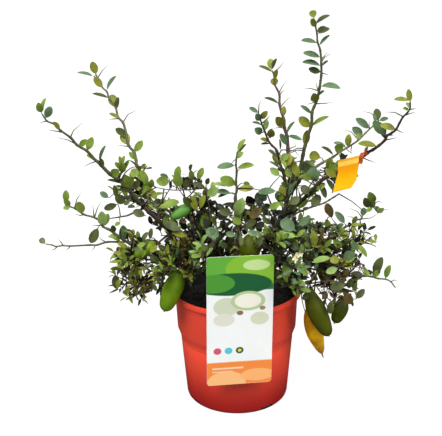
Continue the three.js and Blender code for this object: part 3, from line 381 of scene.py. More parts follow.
# the mass that carries it, axis, greatest half width, skin
fruits = [
    ("left_front", [(-68, -52, 194), (-80, -55, 168), (-91, -58, 141)], 12.5, "fruitGreen"),
    ("centre_left", [(-55, -34, 270), (-66, -38, 264), (-79, -40, 256)], 7.5, "fruitYoung"),
    ("front_right", [(17, -67, 243), (15, -68, 226), (14, -68, 207)], 12.5, "fruitDark"),
    ("right_low", [(86, -57, 169), (99, -60, 137), (114, -62, 106)], 12, "fruitDark"),
    ("right_low", [(138, -47, 152), (133, -50, 136), (126, -52, 119)], 9.5, "fruitDark"),
    ("right_low", [(98, -31, 146), (98, -33, 108), (110, -37, 68)], 11.5, "fruitRipe"),
    ("left_middle", [(-98, -58, 231), (-110, -64, 225), (-122, -68, 217)], 7.5, "fruitGreen"),
    ("back_low", [(-6, 132, 176), (-2, 137, 150), (4, 138, 122)], 11.5, "fruitDark"),
    ("back_left_low", [(-86, 94, 178), (-92, 98, 152), (-96, 100, 126)], 11, "fruitGreen"),
    ("back_right_low", [(118, 62, 172), (124, 62, 150), (128, 62, 126)], 10.5, "fruitDark"),
]
fruitShape = dict(nub=0.16, shoulder=0.07, reach=0.9, fullness=0.55, stalkDepth=0.06)
stalkPlaces = {"from": 0.1, "to": 0.95, "count": 17}
blossoms = [("front_right", (70, -76, 216)), ("back", (20, 122, 232))]


def seededRandom(seed):
    state = seed & 0xFFFFFFFF

    def draw():
        nonlocal state
        state = (state + 0x6D2B79F5) & 0xFFFFFFFF
        mixed = ((state ^ (state >> 15)) * (1 | state)) & 0xFFFFFFFF
        product = ((mixed ^ (mixed >> 7)) * (61 | mixed)) & 0xFFFFFFFF
        mixed = ((mixed + product) ^ mixed) & 0xFFFFFFFF
        return ((mixed ^ (mixed >> 14)) & 0xFFFFFFFF) / 4294967296
    return draw


def unit(vector):
    return vector / norm(vector)


def lerp(low, high, share):
    return (1 - share) * low + share * high


def curvePoint(points, along):
    # Catmull-Rom through the points, with its ends carried on
    last = len(points) - 1
    index = min(int(last * along), last - 1)
    t = last * along - index
    p1, p2 = points[index], points[index + 1]
    p0 = points[index - 1] if index > 0 else 2 * points[0] - points[1]
    p3 = points[index + 2] if index + 2 <= last else 2 * points[last] - points[last - 1]
    t0, t1 = 0.5 * (p2 - p0), 0.5 * (p3 - p1)
    return p1 + t * t0 + t * t * (-3 * p1 + 3 * p2 - 2 * t0 - t1) + t ** 3 * (2 * p1 - 2 * p2 + t0 + t1)


def curveThrough(points, steps):
    return [curvePoint(points, i / steps) for i in range(steps + 1)]


def onChords(points, steps, along):
    step = min(steps - 1, int(along * steps))
    low = curvePoint(points, step / steps)
    high = curvePoint(points, (step + 1) / steps)
    return low + (high - low) * (along * steps - step), unit(high - low)


def referenceFor(chord):
    best = np.eye(3)[0]
    for axis in np.eye(3)[1:]:
        if abs(axis @ chord) < abs(best @ chord) - 1e-9:
            best = axis
    return best


def crossAxes(direction, reference):
    across = unit(np.cross(direction, reference))
    return across, unit(np.cross(across, direction))


def axesFor(direction):
    return crossAxes(direction, referenceFor(direction))


def around(across, over, turn):
    return across * cos(turn) + over * sin(turn)


def turnsRound(count):
    return [2 * pi * k / count for k in range(count)]


def squared(face, direction):
    # what of a face's direction is square to the leaf's own
    return unit(face - direction * (face @ direction))


def vary(least, draw):
    # the least value, and up to how much more
    return least[0] + least[1] * draw()


class Room:
    # capsules that later growth keeps clear of
    def __init__(self):
        self.owners = []
        self.starts, self.ends = np.zeros((2, mostCapsules, 3))
        self.radii = np.zeros(mostCapsules)

    def add(self, owner, start, end, radius):
        count = len(self.owners)
        self.starts[count], self.ends[count], self.radii[count] = start, end, radius
        self.owners.append(owner)

    def gaps(self, start, end):
        count = len(self.owners)
        b0 = self.starts[:count]
        u, v, w = end - start, self.ends[:count] - b0, start - b0
        uu, uv, vv = u @ u, v @ u, (v * v).sum(1)
        uw, vw = w @ u, (v * w).sum(1)
        base = uu * vv - uv * uv
        s = np.where(base > 1e-9, np.clip((uv * vw - vv * uw) / np.where(base > 1e-9, base, 1), 0, 1), 0)
        t = np.clip((uv * s + vw) / vv, 0, 1)
        s = np.clip((uv * t - uw) / uu, 0, 1)
        return norm(w + s[:, None] * u - t[:, None] * v, axis=1) - self.radii[:count]

    def blocks(self, owner, start, end, radius):
        if any(inFixedSpace(point, radius) for point in (start, (start + end) / 2, end)):
            return True
        near = self.gaps(start, end) < radius + clearance
        return any(self.owners[index] != owner for index in np.flatnonzero(near))


def inFixedSpace(point, margin):
    underRim = point[2] < potSize["height"] + potMargin + margin
    inPot = underRim and hypot(point[0], point[1]) < potSize["rimRadius"] + potMargin + margin
    underCardTop = point[2] < cardSize["bottom"] + cardSize["height"] + cardRoom["above"] + margin
    besideCard = abs(point[0] - cardRoom["centre"]) < cardRoom["half"] + margin
    inCard = underCardTop and besideCard and point[1] < cardRoom["front"] + margin / 2
    fromFoot = point - flagFoot
    alongFlag = fromFoot @ flagBearing
    offFlag = abs(np.cross(fromFoot, flagBearing) @ up)
    levelWithFlag = abs(fromFoot[2] - flagRoom["middle"]) < flagRoom["half"]
    besideFlag = offFlag < flagRoom["aside"] + margin and -flagRoom["before"] < alongFlag < flagRoom["after"]
    return inPot or inCard or (levelWithFlag and besideFlag)


room = Room()
limbs = {}
trunkFoot = soilLevel + clearance
trunkBase = np.array((*trunk["foot"], trunkFoot), float)
trunkPoints = [trunkBase, trunkBase + trunk["bend"], np.array(trunk["top"], float)]
limbs["trunk"] = (trunkPoints, trunk["steps"])


def limbPoints(parent, at, path):
    points, steps = limbs[parent]
    return [onChords(points, steps, at)[0]] + [np.array(point, float) for point in path]


def addCurveRoom(owner, points, radii, steps):
    for i in range(steps):
        room.add(owner, curvePoint(points, i / steps), curvePoint(points, (i + 1) / steps),
                 lerp(*radii, i / steps))


for name, at, path, radii in boughs:
    limbs[name] = (limbPoints("trunk", at, path), boughSteps)
    addCurveRoom(name, limbs[name][0], radii, boughSteps)
addCurveRoom("trunk", trunkPoints, (trunk["footRadius"] + trunk["clear"], trunk["topRadius"]), boughSteps)

sprays = []
for name, bough, at, path, girth, nodes, leaf, seed, tones in shoots:
    sprays.append({**shootHabit, "name": name, "girth": girth, "nodes": nodes, "leaf": leaf, "seed": seed,
                   "tones": tones, "points": limbPoints(bough, at, path), "kind": "shoot",
                   "tip": tipTaper["cut" if name == "twig_cut" else "living"]})
for name, bough, at, path, seed, tones, look in masses:
    sprays.append({**massHabit, "name": "foliage_" + name, "seed": seed, "tones": tones, "kind": "mass",
                   "points": limbPoints(bough, at, path), "tip": tipTaper["living"], "look": look})
for spray in sprays:
    spray["radii"] = (spray["girth"], spray["girth"] * spray["tip"])
    addCurveRoom(spray["name"], spray["points"], spray["radii"], spray["steps"])
for owner, axis, girth, skin in fruits:
    top, middle, tip = (np.array(point, float) for point in axis)
    room.add("foliage_" + owner, top, middle, girth)
    room.add("foliage_" + owner, middle, tip, girth)


def leafAt(node, tangent, side, rootDepth, length, angle, draw):
    direction = unit(around(tangent, side, angle) + up * vary(leafHabit["lift"], draw))
    face = tangent * (sin(angle) + leafHabit["faceAlong"]) - side * cos(angle)
    face = squared(face + up * leafHabit["faceUp"], direction)
    return {"start": node - direction * rootDepth, "direction": direction, "face": face, "node": node,
            "length": length * vary(leafHabit["size"], draw), "breadth": vary(leafHabit["breadth"], draw)}


def growSpray(spray):
    draw = seededRandom(spray["seed"])
    points, steps = spray["points"], spray["steps"]
    twigs, leaves = [], []
    samples = curveThrough(points, reachSamples)
    reference = referenceFor(unit(points[-1] - points[0]))
    own = Room()

    def keeps(grown, item, capsules, start, end, radius):
        # what is within reach and has room stays, and keeps its room from then on
        if (all(norm(sample - end) >= spray["reach"] for sample in samples)
                or any(room.blocks(spray["name"], *capsule) for capsule in capsules)
                or own.owners and (own.gaps(start, end) < radius).any()):
            return False
        for capsule in capsules:
            room.add(spray["name"], *capsule)
        own.add("", start, end, radius)
        grown.append(item)
        return True

    def keepsLeaf(leaf, along=1):
        root, outer, tip, broadStart, broadEnd = (
            leaf["start"] + leaf["direction"] * leaf["length"] * leafRoom[key]
            for key in ("from", "outerFrom", "tip", "broadFrom", "broadTo"))
        broad, narrow = (leaf["length"] * leaf["breadth"] * leafRoom[key] for key in ("broad", "narrow"))
        return keeps(leaves, {**leaf, "along": along}, [(root, tip, narrow), (broadStart, broadEnd, broad)],
                     outer, tip, narrow)

    def keepsTwig(start, end):
        girth = twigHabit["girth"]
        clearStart = start + unit(end - start) * (spray["girth"] + twigHabit["clearOfStem"])
        outer = start + (end - start) * twigHabit["outerFrom"]
        return keeps(twigs, (start, end), [(clearStart, end, girth)], outer, end, girth)

    def growTwigLeaves(start, end):
        direction = unit(end - start)
        across, over = crossAxes(direction, reference)
        for k in range(spray["twigLeaves"]):
            share = (k + 1) / (spray["twigLeaves"] + twigHabit["pastEnd"])
            place = start + (end - start) * share
            root = twigHabit["girth"] * (1 - share) * leafHabit["rootShare"]
            angle = twigHabit["endAngle" if k == spray["twigLeaves"] - 1 else "sideAngle"]
            for attempt in range(nodeHabit["tries"]):
                turn = k * pi + draw() + attempt * nodeHabit["turnOn"]
                side = around(across, over, turn)
                if keepsLeaf(leafAt(place, direction, side, root, spray["leaf"], angle, draw)):
                    break

    for i in range(spray["nodes"]):
        along = lerp(spray["firstNode"], lastNode, (i + 0.5) / spray["nodes"])
        start, tangent = onChords(points, steps, along)
        across, over = crossAxes(tangent, reference)
        root = lerp(*spray["radii"], along) * leafHabit["rootShare"]
        for attempt in range(nodeHabit["tries"]):
            turn = i * goldenAngle + (draw() - 0.5) * nodeHabit["turnSpread"] + attempt * nodeHabit["turnOn"]
            side = around(across, over, turn)
            angle = spray["spread"] * vary(nodeHabit["angle"], draw)
            if spray["twig"] == 0:
                if keepsLeaf(leafAt(start, tangent, side, root, spray["leaf"], angle, draw), along):
                    break
                continue
            length = spray["twig"] * (twigHabit["lengthAtFoot"] - twigHabit["shrink"] * along)
            length *= vary(twigHabit["length"], draw)
            end = start + unit(around(tangent, side, angle) + up * twigHabit["lift"]) * length
            if keepsTwig(start, end):
                growTwigLeaves(start, end)
                break
    if spray["nodes"] > 0:
        start, tangent = onChords(points, steps, endLeaf["place"])
        across, over = crossAxes(tangent, reference)
        keepsLeaf(leafAt(start, tangent, across, 0, spray["leaf"] * endLeaf["size"], endLeaf["angle"], draw))
    return twigs, leaves


def nearestOnStem(name, shares, distance):
    # the place on a named spray's stem, and the stem's direction there
    spray = next(spray for spray in sprays if spray["name"] == name)
    return min((onChords(spray["points"], spray["steps"], share) for share in shares),
               key=lambda spot: distance(spot[0]))


for spray in sprays:
    spray["twigs"], spray["leaves"] = growSpray(spray)
print("grown:", {kind: sum(len(spray[kind]) for spray in sprays) for kind in ("twigs", "leaves")})


# Places in the photo, 442 by 436 pixels

photoMiddle = np.array((221, 218))
eye = np.array(camera["place"])
focal = camera["lens"] / camera["sensor"] * 2 * photoMiddle[0]


def turnAbout(first, second, degrees):
    # a turn in the plane of two axes
    turn, angle = np.eye(3), radians(degrees)
    turn[first, first] = turn[second, second] = cos(angle)
    turn[second, first], turn[first, second] = sin(angle), -sin(angle)
    return turn


# columns: the camera's right, up and back
view = turnAbout(1, 2, 90 - camera["pitch"]) @ turnAbout(0, 1, camera["roll"])


def photoPlace(x, y, depth):
    # the place that shows at a point of the photo, on the upright plane at that depth
    ray = view @ (x - photoMiddle[0], photoMiddle[1] - y, -focal)
    return eye + ray * ((depth - eye[1]) / ray[1])


def photoPoint(place):
    # the point of the photo where a place shows
    right, rise, back = (np.asarray(place) - eye) @ view
    return photoMiddle + np.array((-right, rise)) * (focal / back)


def photoScale(place):
    # how many mm a pixel of the photo spans there
    return norm(place - eye) / focal


# Where sky, soil or the rim shows between the masses: middle and half axes of each opening in the photo
openings = [
    (172, 158, 50, 10), (158, 174, 13, 9), (183, 162, 22, 9), (216, 165, 14, 16), (262, 172, 20, 20),
    (252, 192, 11, 7), (222, 195, 8, 5), (102, 203, 24, 8), (134, 218, 15, 9), (112, 219, 22, 11),
    (338, 212, 30, 10), (392, 238, 14, 12), (372, 258, 10, 12), (390, 292, 22, 14), (156, 301, 9, 5),
    (180, 194, 10, 4), (170, 198, 14, 8), (240, 196, 14, 7), (144, 232, 10, 7), (320, 186, 10, 7),
    (298, 200, 10, 8), (362, 282, 9, 6), (285, 305, 18, 10), (161, 237, 6, 5), (146, 236, 6, 4),
    (271, 199, 7, 4), (256, 197, 4, 5), (309, 181, 8, 4),
]
# Where a fruit shows: nothing grows in front of it there, nearer than the depth in mm
fruitViews = [
    (184, 212, 13, 8, -38), (175, 288, 10, 17, -52), (318, 308, 11, 20, -57), (341, 310, 9, 12, -46),
]

# Shoots as measured in the photo: each leaf's tone, the stem's corners from the plant's middle outwards,
# the leaves (foot, tip and width) and the spines (foot, bend and tip)
measured = {
    "shoot_left_tall": ("obobdododomm", [(137, 166), (136, 160), (134, 152), (128.5, 145), (125.5, 131),
     (123, 122.5), (118, 117), (115.5, 107), (109, 98), (107, 92), (102, 87), (98, 79), (95.5, 73)],
     [(95.5, 75, 92, 61.5, 6.5), (94, 77, 77, 72.5, 2.6), (103, 88, 94, 77, 6), (108, 90, 116.5, 76, 3),
     (109, 98.5, 92, 93.5, 2.8), (117, 108, 111, 94.5, 8), (117, 109, 118.5, 97, 4),
     (118, 120, 109, 113.5, 3), (126, 135, 115.5, 128.5, 6), (129, 146, 122.5, 133, 8.5),
     (135, 152, 142.5, 140.5, 6), (136, 160, 129, 152, 4)], [(100, 77, 102, 71, 108, 65),
     (117.5, 119.5, 113, 119, 109, 119.5), (124, 122, 128, 114.5, 137, 110),
     (129, 147, 124, 146, 117, 145)]),
    "shoot_left_far": ("mmbommobmmmmmmd", [(123, 183), (121, 181), (110, 174), (101, 165), (98, 162),
     (93, 158), (87, 151), (77, 145), (71, 138), (60, 130), (54, 124), (47, 121), (41.5, 113)],
     [(41.5, 112.5, 38, 102.5, 6), (42, 111, 46, 98, 3), (47, 118, 51, 106.5, 6.5), (60, 130, 53, 122, 4),
     (79, 145.5, 88, 140, 5), (88, 149.5, 92.5, 137, 6), (95, 160, 87, 154, 4),
     (100, 163, 106, 145.5, 2.8), (111, 175, 119.5, 170, 7.5), (122, 172, 119, 156, 4),
     (122, 172, 125, 155.5, 3.5), (123, 172, 129.5, 160, 3.5), (122, 171, 115, 162, 4),
     (122, 173, 123, 163, 6), (104, 168, 99, 158, 3)], [(62, 134, 55, 131, 48, 130),
     (76, 144, 68, 140, 57, 137.5), (71, 137, 73.5, 130.5, 83, 122.5), (97, 161, 91, 163, 84, 166.5),
     (47, 121, 44, 121.5, 40, 123)]),
    "shoot_left_short": ("mmpmpmddm", [(118, 236), (113, 232), (108, 229), (103, 226.5), (100, 221),
     (93, 217), (84, 214.5), (75, 208.5), (70, 206.5), (66, 203)], [(65, 202, 66, 190, 5.5),
     (70, 206.5, 64, 198.5, 5), (70, 206.5, 63, 208.5, 4.5), (83, 214, 78, 201.5, 7.5),
     (103, 226.5, 101.5, 211, 8), (103.5, 226.5, 108.5, 213.5, 5.5), (98.5, 227, 90.5, 243, 7.8),
     (113, 234, 112.5, 225, 5), (118, 236, 108, 237, 3.5)], [(75, 208, 77, 199, 81, 193),
     (94, 217, 93.5, 211, 92.5, 205), (95, 217, 97.5, 208, 101, 202), (101, 226, 97, 225.5, 91.5, 225),
     (84, 214.5, 80, 215.5, 75, 214)]),
    "shoot_left_bare": ("dbm", [(128, 242), (118, 242), (107, 242), (97, 245), (90, 245), (70, 246),
     (63, 245.5), (56, 246.5), (52, 245), (45.5, 244)], [(45.5, 243.5, 40, 238.5, 5),
     (124, 241, 123, 225, 7.8), (121, 241, 110, 236, 3.5)], [(57, 246.5, 55, 249, 51, 250.5),
     (63, 245, 61, 242, 58, 238.5), (70, 246, 69, 248, 66, 250.5), (95, 245.5, 94, 248, 91.5, 251),
     (106, 242, 102, 240, 99, 237)]),
    "shoot_centre": ("mopbmmobdpp", [(235.5, 215), (235.5, 208), (235, 198), (236.8, 190), (236, 182),
     (236.7, 172), (236, 165), (236.5, 158), (237.3, 151)], [(237.3, 151, 245.5, 139, 4),
     (239, 156, 246.5, 144, 2.8), (238, 158.5, 243.5, 152, 4), (234, 165.5, 217, 167.5, 5.5),
     (238.5, 168.5, 254, 165, 5), (235.5, 185, 220, 178, 9), (239, 189.5, 254, 188, 6),
     (232, 194, 215, 192, 4.5), (229, 193, 218, 197.5, 2.8), (228, 186.5, 213, 184, 3.5),
     (237.5, 215, 243, 198, 9.5)], [(236, 159, 233.5, 161, 231, 164),
     (236.5, 171.5, 238.5, 170, 241, 169.5)]),
    "shoot_dark_upright": ("oddoodoobbbd", [(288.5, 160), (288, 150), (287, 136.5), (284.5, 128), (284, 120),
     (281.5, 112), (279.5, 104), (279.5, 95), (277, 89), (274.5, 84), (274, 76), (271.8, 70)],
     [(273, 70, 270, 58.5, 6.2), (273.5, 69.5, 277, 58.5, 3), (272, 73, 258.5, 66, 2.6),
     (276, 80, 278, 70, 3.6), (275, 87, 273.5, 78, 6.6), (279.5, 104.5, 264, 98, 2.6),
     (284, 117, 284, 106, 4.6), (284.3, 127, 276, 117, 7.8), (287.5, 135.5, 302, 140, 3.6),
     (289, 134, 295, 121.5, 2.6), (287, 146, 280, 133.5, 5.4), (280, 151, 279.3, 139, 1.8)],
     [(278, 71, 280, 67, 283.5, 62), (280, 93, 282, 87, 286.5, 81), (279.8, 95, 282, 92, 285, 90),
     (282, 107, 285, 101.5, 291, 96.5), (297, 149, 296, 146, 293.5, 141), (288, 150, 295, 151, 300, 157),
     (284.5, 128, 279, 127.5, 272, 128.5)]),
    "shoot_dark_side": ("bobpbbood", [(277, 151), (272, 145.5), (268, 140), (265, 132), (262.5, 126),
     (260.5, 120), (258.5, 113)], [(258.5, 113, 249, 107.5, 3.8), (261, 119, 267.5, 111, 5.2),
     (260, 121, 256, 113.5, 6), (265, 131, 267, 119, 4.8), (260.5, 126.5, 252, 122.5, 2.2),
     (262.5, 133, 254.5, 128.5, 6.5), (270.5, 138, 271.5, 128.5, 6.8), (268, 143, 260, 139, 3.2),
     (269, 145, 261, 144.5, 2)], [(258.5, 109, 259, 105, 261, 100.5), (266, 122, 268, 118, 270, 115)]),
    "shoot_tallest": ("oodddbbbbdbodbomobddb", [(300, 168), (303, 155), (305, 146), (308, 135), (311.5, 125),
     (312, 113), (314, 107), (317.3, 99), (319.5, 88), (321.2, 76), (321.3, 64), (320.2, 50), (317.5, 42),
     (317, 34), (315.3, 25), (313.8, 18)], [(313.8, 19, 312.3, 10.3, 6), (315.3, 27, 311.3, 18.5, 5),
     (316, 24.5, 330, 15.3, 3.4), (317.5, 33, 325.5, 26.3, 3), (317.8, 34, 329.5, 28.3, 4.2),
     (319.5, 46, 330, 35, 2.8), (317.5, 43.3, 301, 40.5, 3.6), (320.5, 58, 303, 52.8, 4.8),
     (321.3, 66.5, 302, 62.3, 4.2), (321.3, 72.5, 308.5, 68.5, 5.4), (321, 87, 340.5, 88.5, 4.8),
     (318.3, 103, 313.5, 93, 7.4), (319.5, 96, 324.5, 91, 2.2), (312, 114, 300.3, 105.5, 3.4),
     (312, 128, 299, 117, 7.8), (312.5, 127.5, 329, 116.3, 3.8), (305.5, 147, 307.5, 130, 6.2),
     (322, 66, 328.5, 61, 2.2), (301, 171, 309, 160.5, 5), (305, 165, 316, 161.5, 4),
     (309, 164, 316.5, 181.5, 9.5)], [(321.3, 62, 325, 57, 331.5, 53.5), (321, 60, 324.5, 56, 328, 52),
     (322, 73, 325, 73.8, 329, 75.5), (318.5, 92, 317, 87, 316, 81.5), (318, 90.5, 311, 88.5, 303.5, 88),
     (316.5, 101.5, 312, 103, 306.5, 104.5), (317, 104.5, 325, 103.3, 332.5, 102.5),
     (320, 85, 319.5, 82, 319, 80)]),
    "shoot_tagged": ("ooppoboddodd", [(318, 184), (324, 178.5), (333, 174), (345, 167.5), (354, 162.5),
     (361, 157), (366, 153.3), (373, 149.7), (379, 145.5), (385, 140), (387, 135.7), (391, 133.5),
     (396, 129.5), (399.5, 123), (403, 117), (407.5, 112.5), (410, 108), (410.2, 101)],
     [(410, 102.5, 408.3, 89, 4.8), (410, 100.5, 394, 99.7, 3.6), (409.5, 109.5, 403, 109, 3),
     (409.7, 108, 405.5, 103.5, 3), (396.5, 129.3, 380, 125, 5.6), (386.5, 135, 373, 121, 8.2),
     (378, 146.5, 358, 143.8, 5), (366.5, 153, 367, 146.5, 3), (325, 178.5, 334, 191, 4.2),
     (337, 177, 325.5, 169.5, 6.5), (320.5, 184, 326, 198, 5), (387, 140, 380, 131, 3)],
     [(403, 116.5, 395, 112.3, 385, 112), (404.5, 115.5, 410, 113.5, 415.5, 112),
     (397, 130, 400, 131.5, 403.8, 133), (388, 135.5, 391, 135.3, 394, 135),
     (386, 141, 391, 139, 397, 137.5), (362, 158.5, 369, 160.5, 375.8, 162.5),
     (410, 109.5, 413, 109, 416, 108.3), (396.5, 129, 393.5, 129, 390.5, 132),
     (324, 178.5, 320, 174, 318.5, 169)]),
    "shoot_right_back": ("dbbbpobmddob", [(313, 169), (318, 165.5), (322, 163), (333, 157), (340, 152),
     (348, 147), (358, 140.5), (366, 132.5), (373, 126), (379, 120.5)], [(380, 119.5, 376, 108.5, 6.2),
     (380.5, 120, 388.5, 118.3, 3.6), (369, 128.5, 355.5, 118.5, 6), (364, 136, 352.3, 127.3, 6.6),
     (363, 138.5, 355.5, 135, 5.2), (347.5, 147.5, 349, 134, 5.6), (347, 148, 333.5, 142.7, 3.6),
     (343.5, 151.5, 334.5, 146.3, 8.5), (341, 153, 344.5, 160.5, 5), (333, 154.5, 321, 147, 2.7),
     (321.5, 158, 309.5, 154.5, 8.5), (376, 124, 373, 113.5, 3)], [(376, 118, 371, 113, 363, 111.3),
     (357, 138, 351, 131.5, 344, 130), (351.5, 145, 351, 150, 351, 155),
     (346, 149, 349, 151.5, 352.5, 153.5), (369, 128, 369, 124, 370, 120.5)]),
    "shoot_right_short": ("mdbdbdomp", [(340, 231), (346, 226.5), (352, 224.5), (356, 220), (361, 219),
     (363, 214), (366.5, 210), (371, 207), (374, 203.5)], [(374, 203.5, 369, 191.8, 7.2),
     (369, 209, 364.5, 197.5, 6), (363.5, 217, 364.5, 207.5, 5), (371, 210, 375, 201, 5),
     (345, 224, 335, 211.7, 5.6), (332, 219, 326.5, 203, 6.2), (352, 224, 357, 216, 4),
     (379, 213, 376, 206, 4.4), (378, 213, 384, 208, 4)], [(361, 217, 357.5, 211.5, 349, 208),
     (356, 221, 352, 217, 347, 216.5), (363, 222, 371, 218, 380, 212), (380, 212, 384, 210, 389.5, 208.8),
     (375, 204, 379, 201, 382, 203)]),
    "shoot_right_low": ("dmmdmdo", [(345, 275), (354, 276), (364, 276), (371, 276.5), (378, 278.5),
     (386, 279.3), (391, 282), (395.5, 288)], [(374, 277, 382.5, 257, 7.4), (372, 276.5, 380.5, 270.5, 5),
     (385, 279, 390.5, 265, 5), (365, 276, 350.5, 273.5, 5), (364, 277.5, 351, 279.5, 4.6),
     (353.5, 291, 355, 279, 4.6), (356, 299, 364.5, 289, 5.6)], [(365, 275.5, 361, 268, 351, 266.5),
     (391, 281.5, 394, 280, 398, 281)]),
}
# Leaves that stand out in the dense foliage, measured the same way: their depth in mm, tones, leaves, and
# the corners of twigs
outerLeaves = {
    "leftOuter": (-34, "bddddd", [(109, 198, 100, 192, 5), (116, 198, 114, 185, 4.5),
     (126, 203, 115, 196, 8), (118, 204, 104, 209, 6), (130, 192, 119, 190, 3),
     (122, 184, 107, 180, 2.6)], []),
    "leftLow": (-52, "ooddomddododdopoommo", [(130, 250, 117, 243, 4), (128, 253, 113, 254, 3.4),
     (127, 257, 113, 262, 3.4), (124, 270, 110, 269, 3.4), (133, 243, 128, 233, 3.6),
     (138, 242, 137, 231, 4), (141, 243, 148, 232, 4), (150, 240, 152, 228, 4), (130, 284, 126, 296, 4),
     (137, 284, 135, 296, 4), (145, 283, 141, 294, 4), (150, 282, 157, 291, 4), (117, 290, 115, 275, 7),
     (116, 289, 121, 280, 4), (130, 264, 138, 278, 4.6), (136, 262, 124, 258, 5),
     (140, 270, 128, 276, 4.6), (135, 250, 122, 249, 5), (142, 262, 134, 252, 5),
     (125, 262, 118, 272, 4)], []),
    # the leaves within the foliage mostly take the dark tone, as painted shade
    "within": (40, "knkkdkkkkknk", [(186, 231, 180, 219, 6), (179, 220, 187, 222, 4),
     (265, 222, 256, 228, 6), (262, 233, 255, 222, 5), (256, 229, 246, 227, 4), (248, 228, 243, 234, 5),
     (228, 216, 218, 219, 4), (216, 212, 210, 206, 5), (152, 225, 149, 216, 4), (309, 274, 318, 280, 4),
     (314, 270, 313, 281, 4), (253, 206, 247, 196, 8)], []),
    "strewn": (-40, "modmdmmd", [(120, 222, 115, 226, 3.4), (152, 290, 143, 293, 3), (352, 277, 348, 288, 5),
     (283, 160, 285, 168, 3), (130, 200, 124, 205, 4), (243, 183, 250, 184.5, 4),
     (366, 213, 372, 208, 3.5), (172, 180, 171, 188, 3)], []),
    "overFruit": (-80, "dmomdddb", [(150, 238, 143, 250, 4.5), (146, 243, 137, 246, 4),
     (158, 245, 150, 252, 5), (142, 258, 146, 247, 4), (133, 248, 141, 252, 3.6), (262, 235, 256, 248, 6),
     (240, 234, 241, 246, 4), (247, 231, 257, 235, 5)], []),
    "leftUpper": (-40, "mdmdmdmodmmbmmmdmdddmdoomom", [(158, 208, 179.5, 202, 7), (153, 207, 160, 199, 6),
     (147, 204, 158, 210, 3), (146, 216, 133, 211, 7), (148, 185, 140.5, 170, 6.5),
     (134, 188, 139, 180, 6), (137, 168, 132, 177, 7), (141, 169, 146, 164, 3.4),
     (145, 169, 152, 168.5, 1.8), (151, 188, 152, 179, 5), (170, 181.5, 156, 181, 8.5),
     (169, 178, 160, 174.5, 4), (176, 180, 179, 166, 6), (180, 188, 176, 173, 8),
     (192.5, 180, 190.5, 170, 5), (190, 172, 192.5, 164.5, 3), (197.5, 180, 203, 167.5, 5.4),
     (206, 188, 193, 184, 4.4), (185, 189, 187, 179, 5), (206, 185, 209, 178, 4), (165, 193, 150, 197, 3),
     (192, 206, 183, 197.5, 7), (196, 211, 192, 196, 6), (200, 209, 205, 195, 5),
     (130, 188, 126, 175, 8.5), (126, 187, 121, 181, 5), (142, 196, 148, 186, 3)], [[(206, 188),
     (190, 189.5), (172, 190), (156, 187.5)], [(121, 180), (125, 173), (131, 168), (137, 166.5)],
     [(162, 203), (166, 195), (170, 189)]]),
    "frontLeft": (-62, "dobpbppdmddd", [(182, 231, 163, 223, 7), (186, 237, 172, 230, 6),
     (205, 229, 219, 236, 9), (199, 269, 190, 256, 9), (177, 247, 182, 259, 8), (195, 269, 183, 277, 5),
     (207, 196, 218, 188, 8), (168, 252, 158, 245, 5), (196, 240, 204, 251, 6), (168, 262, 176, 270, 5),
     (205, 250, 214, 243, 5), (160, 262, 150, 256, 5)], []),
    "centre": (-68, "npbbbmdbmddd", [(262, 207, 250, 218, 8), (251, 230, 264.5, 240, 4.6),
     (236, 236, 226, 233, 5), (265, 191, 262, 201, 7), (277, 191, 258, 192, 6), (268, 209, 280, 203, 6),
     (232, 213, 219, 211, 7), (218, 238, 210, 229, 6), (242, 224, 232, 218, 6), (246, 226, 256, 220, 6),
     (272, 224, 262, 218, 5), (228, 247, 219, 243, 5)], []),
    "rightFront": (-72, "ndddddpbbondpobpdmmpdd", [(344, 291, 351.5, 304, 7.5), (331, 300, 330, 314, 6),
     (355.5, 299, 364.5, 289.5, 5.4), (357.5, 281, 354.5, 291.5, 3.2), (306, 287, 297, 293, 6),
     (310, 290, 303, 300, 5), (297, 237, 276.5, 234, 6.4), (296, 231, 281, 220, 11),
     (298, 226, 309, 217, 6.4), (316, 246, 312, 230, 6), (321, 242, 324, 229, 3.4),
     (311, 244, 303, 232, 4), (332, 258, 313, 262.5, 5), (339, 258, 330, 261.5, 7),
     (343, 258, 355, 253, 8), (338, 268, 326, 272.5, 6), (346, 284, 330, 288, 8), (288, 285, 285, 261, 9),
     (291, 262, 308, 276, 6.4), (284, 281, 306, 284.5, 6.4), (280, 284, 277, 270, 6),
     (300, 250, 290, 244, 6)], [[(325, 281), (324, 290), (327, 297), (333, 304)], [(316, 286), (322, 294),
     (325, 300), (328, 309)], [(303, 285), (301.5, 297), (305, 312)]]),
    "right": (-30, "ddddonombmmomoompddmbdm", [(300, 197, 290, 204, 7), (309, 195, 302, 185.5, 7),
     (311, 207, 320, 195, 8), (290, 212, 296, 203.5, 6), (284, 198, 281, 185.5, 6.4),
     (331, 216, 325.6, 204, 6.2), (349, 239, 333, 227, 7), (342, 247, 333, 240, 6),
     (351, 240, 358, 250, 5), (354, 244, 367, 257, 4.5), (330, 230, 326, 219, 5),
     (299, 178, 293, 163, 6.4), (289, 154, 280, 160, 6), (290, 152, 286, 166, 7.6),
     (290, 167, 293, 156, 5), (291, 178, 287, 169, 6), (280, 176, 270, 168, 6), (288, 187, 281, 183, 4),
     (302, 172, 310, 164, 6), (311, 180, 303, 174, 6), (281, 169.5, 269, 161.5, 2.2),
     (277, 157, 268, 150, 3), (316, 190, 325, 183, 5)], []),
}

# Finer growth: every leaf solid of a mass becomes a twiglet of leaves, and shoots get their spines

class Heap:
    # vertices and faces of many small things that become one piece
    def __init__(self):
        self.verts, self.faces, self.count = [], [], 0

    def add(self, verts, faces):
        self.verts.append(np.asarray(verts, float))
        self.faces.extend(tuple(index + self.count for index in face) for face in faces)
        self.count += len(verts)


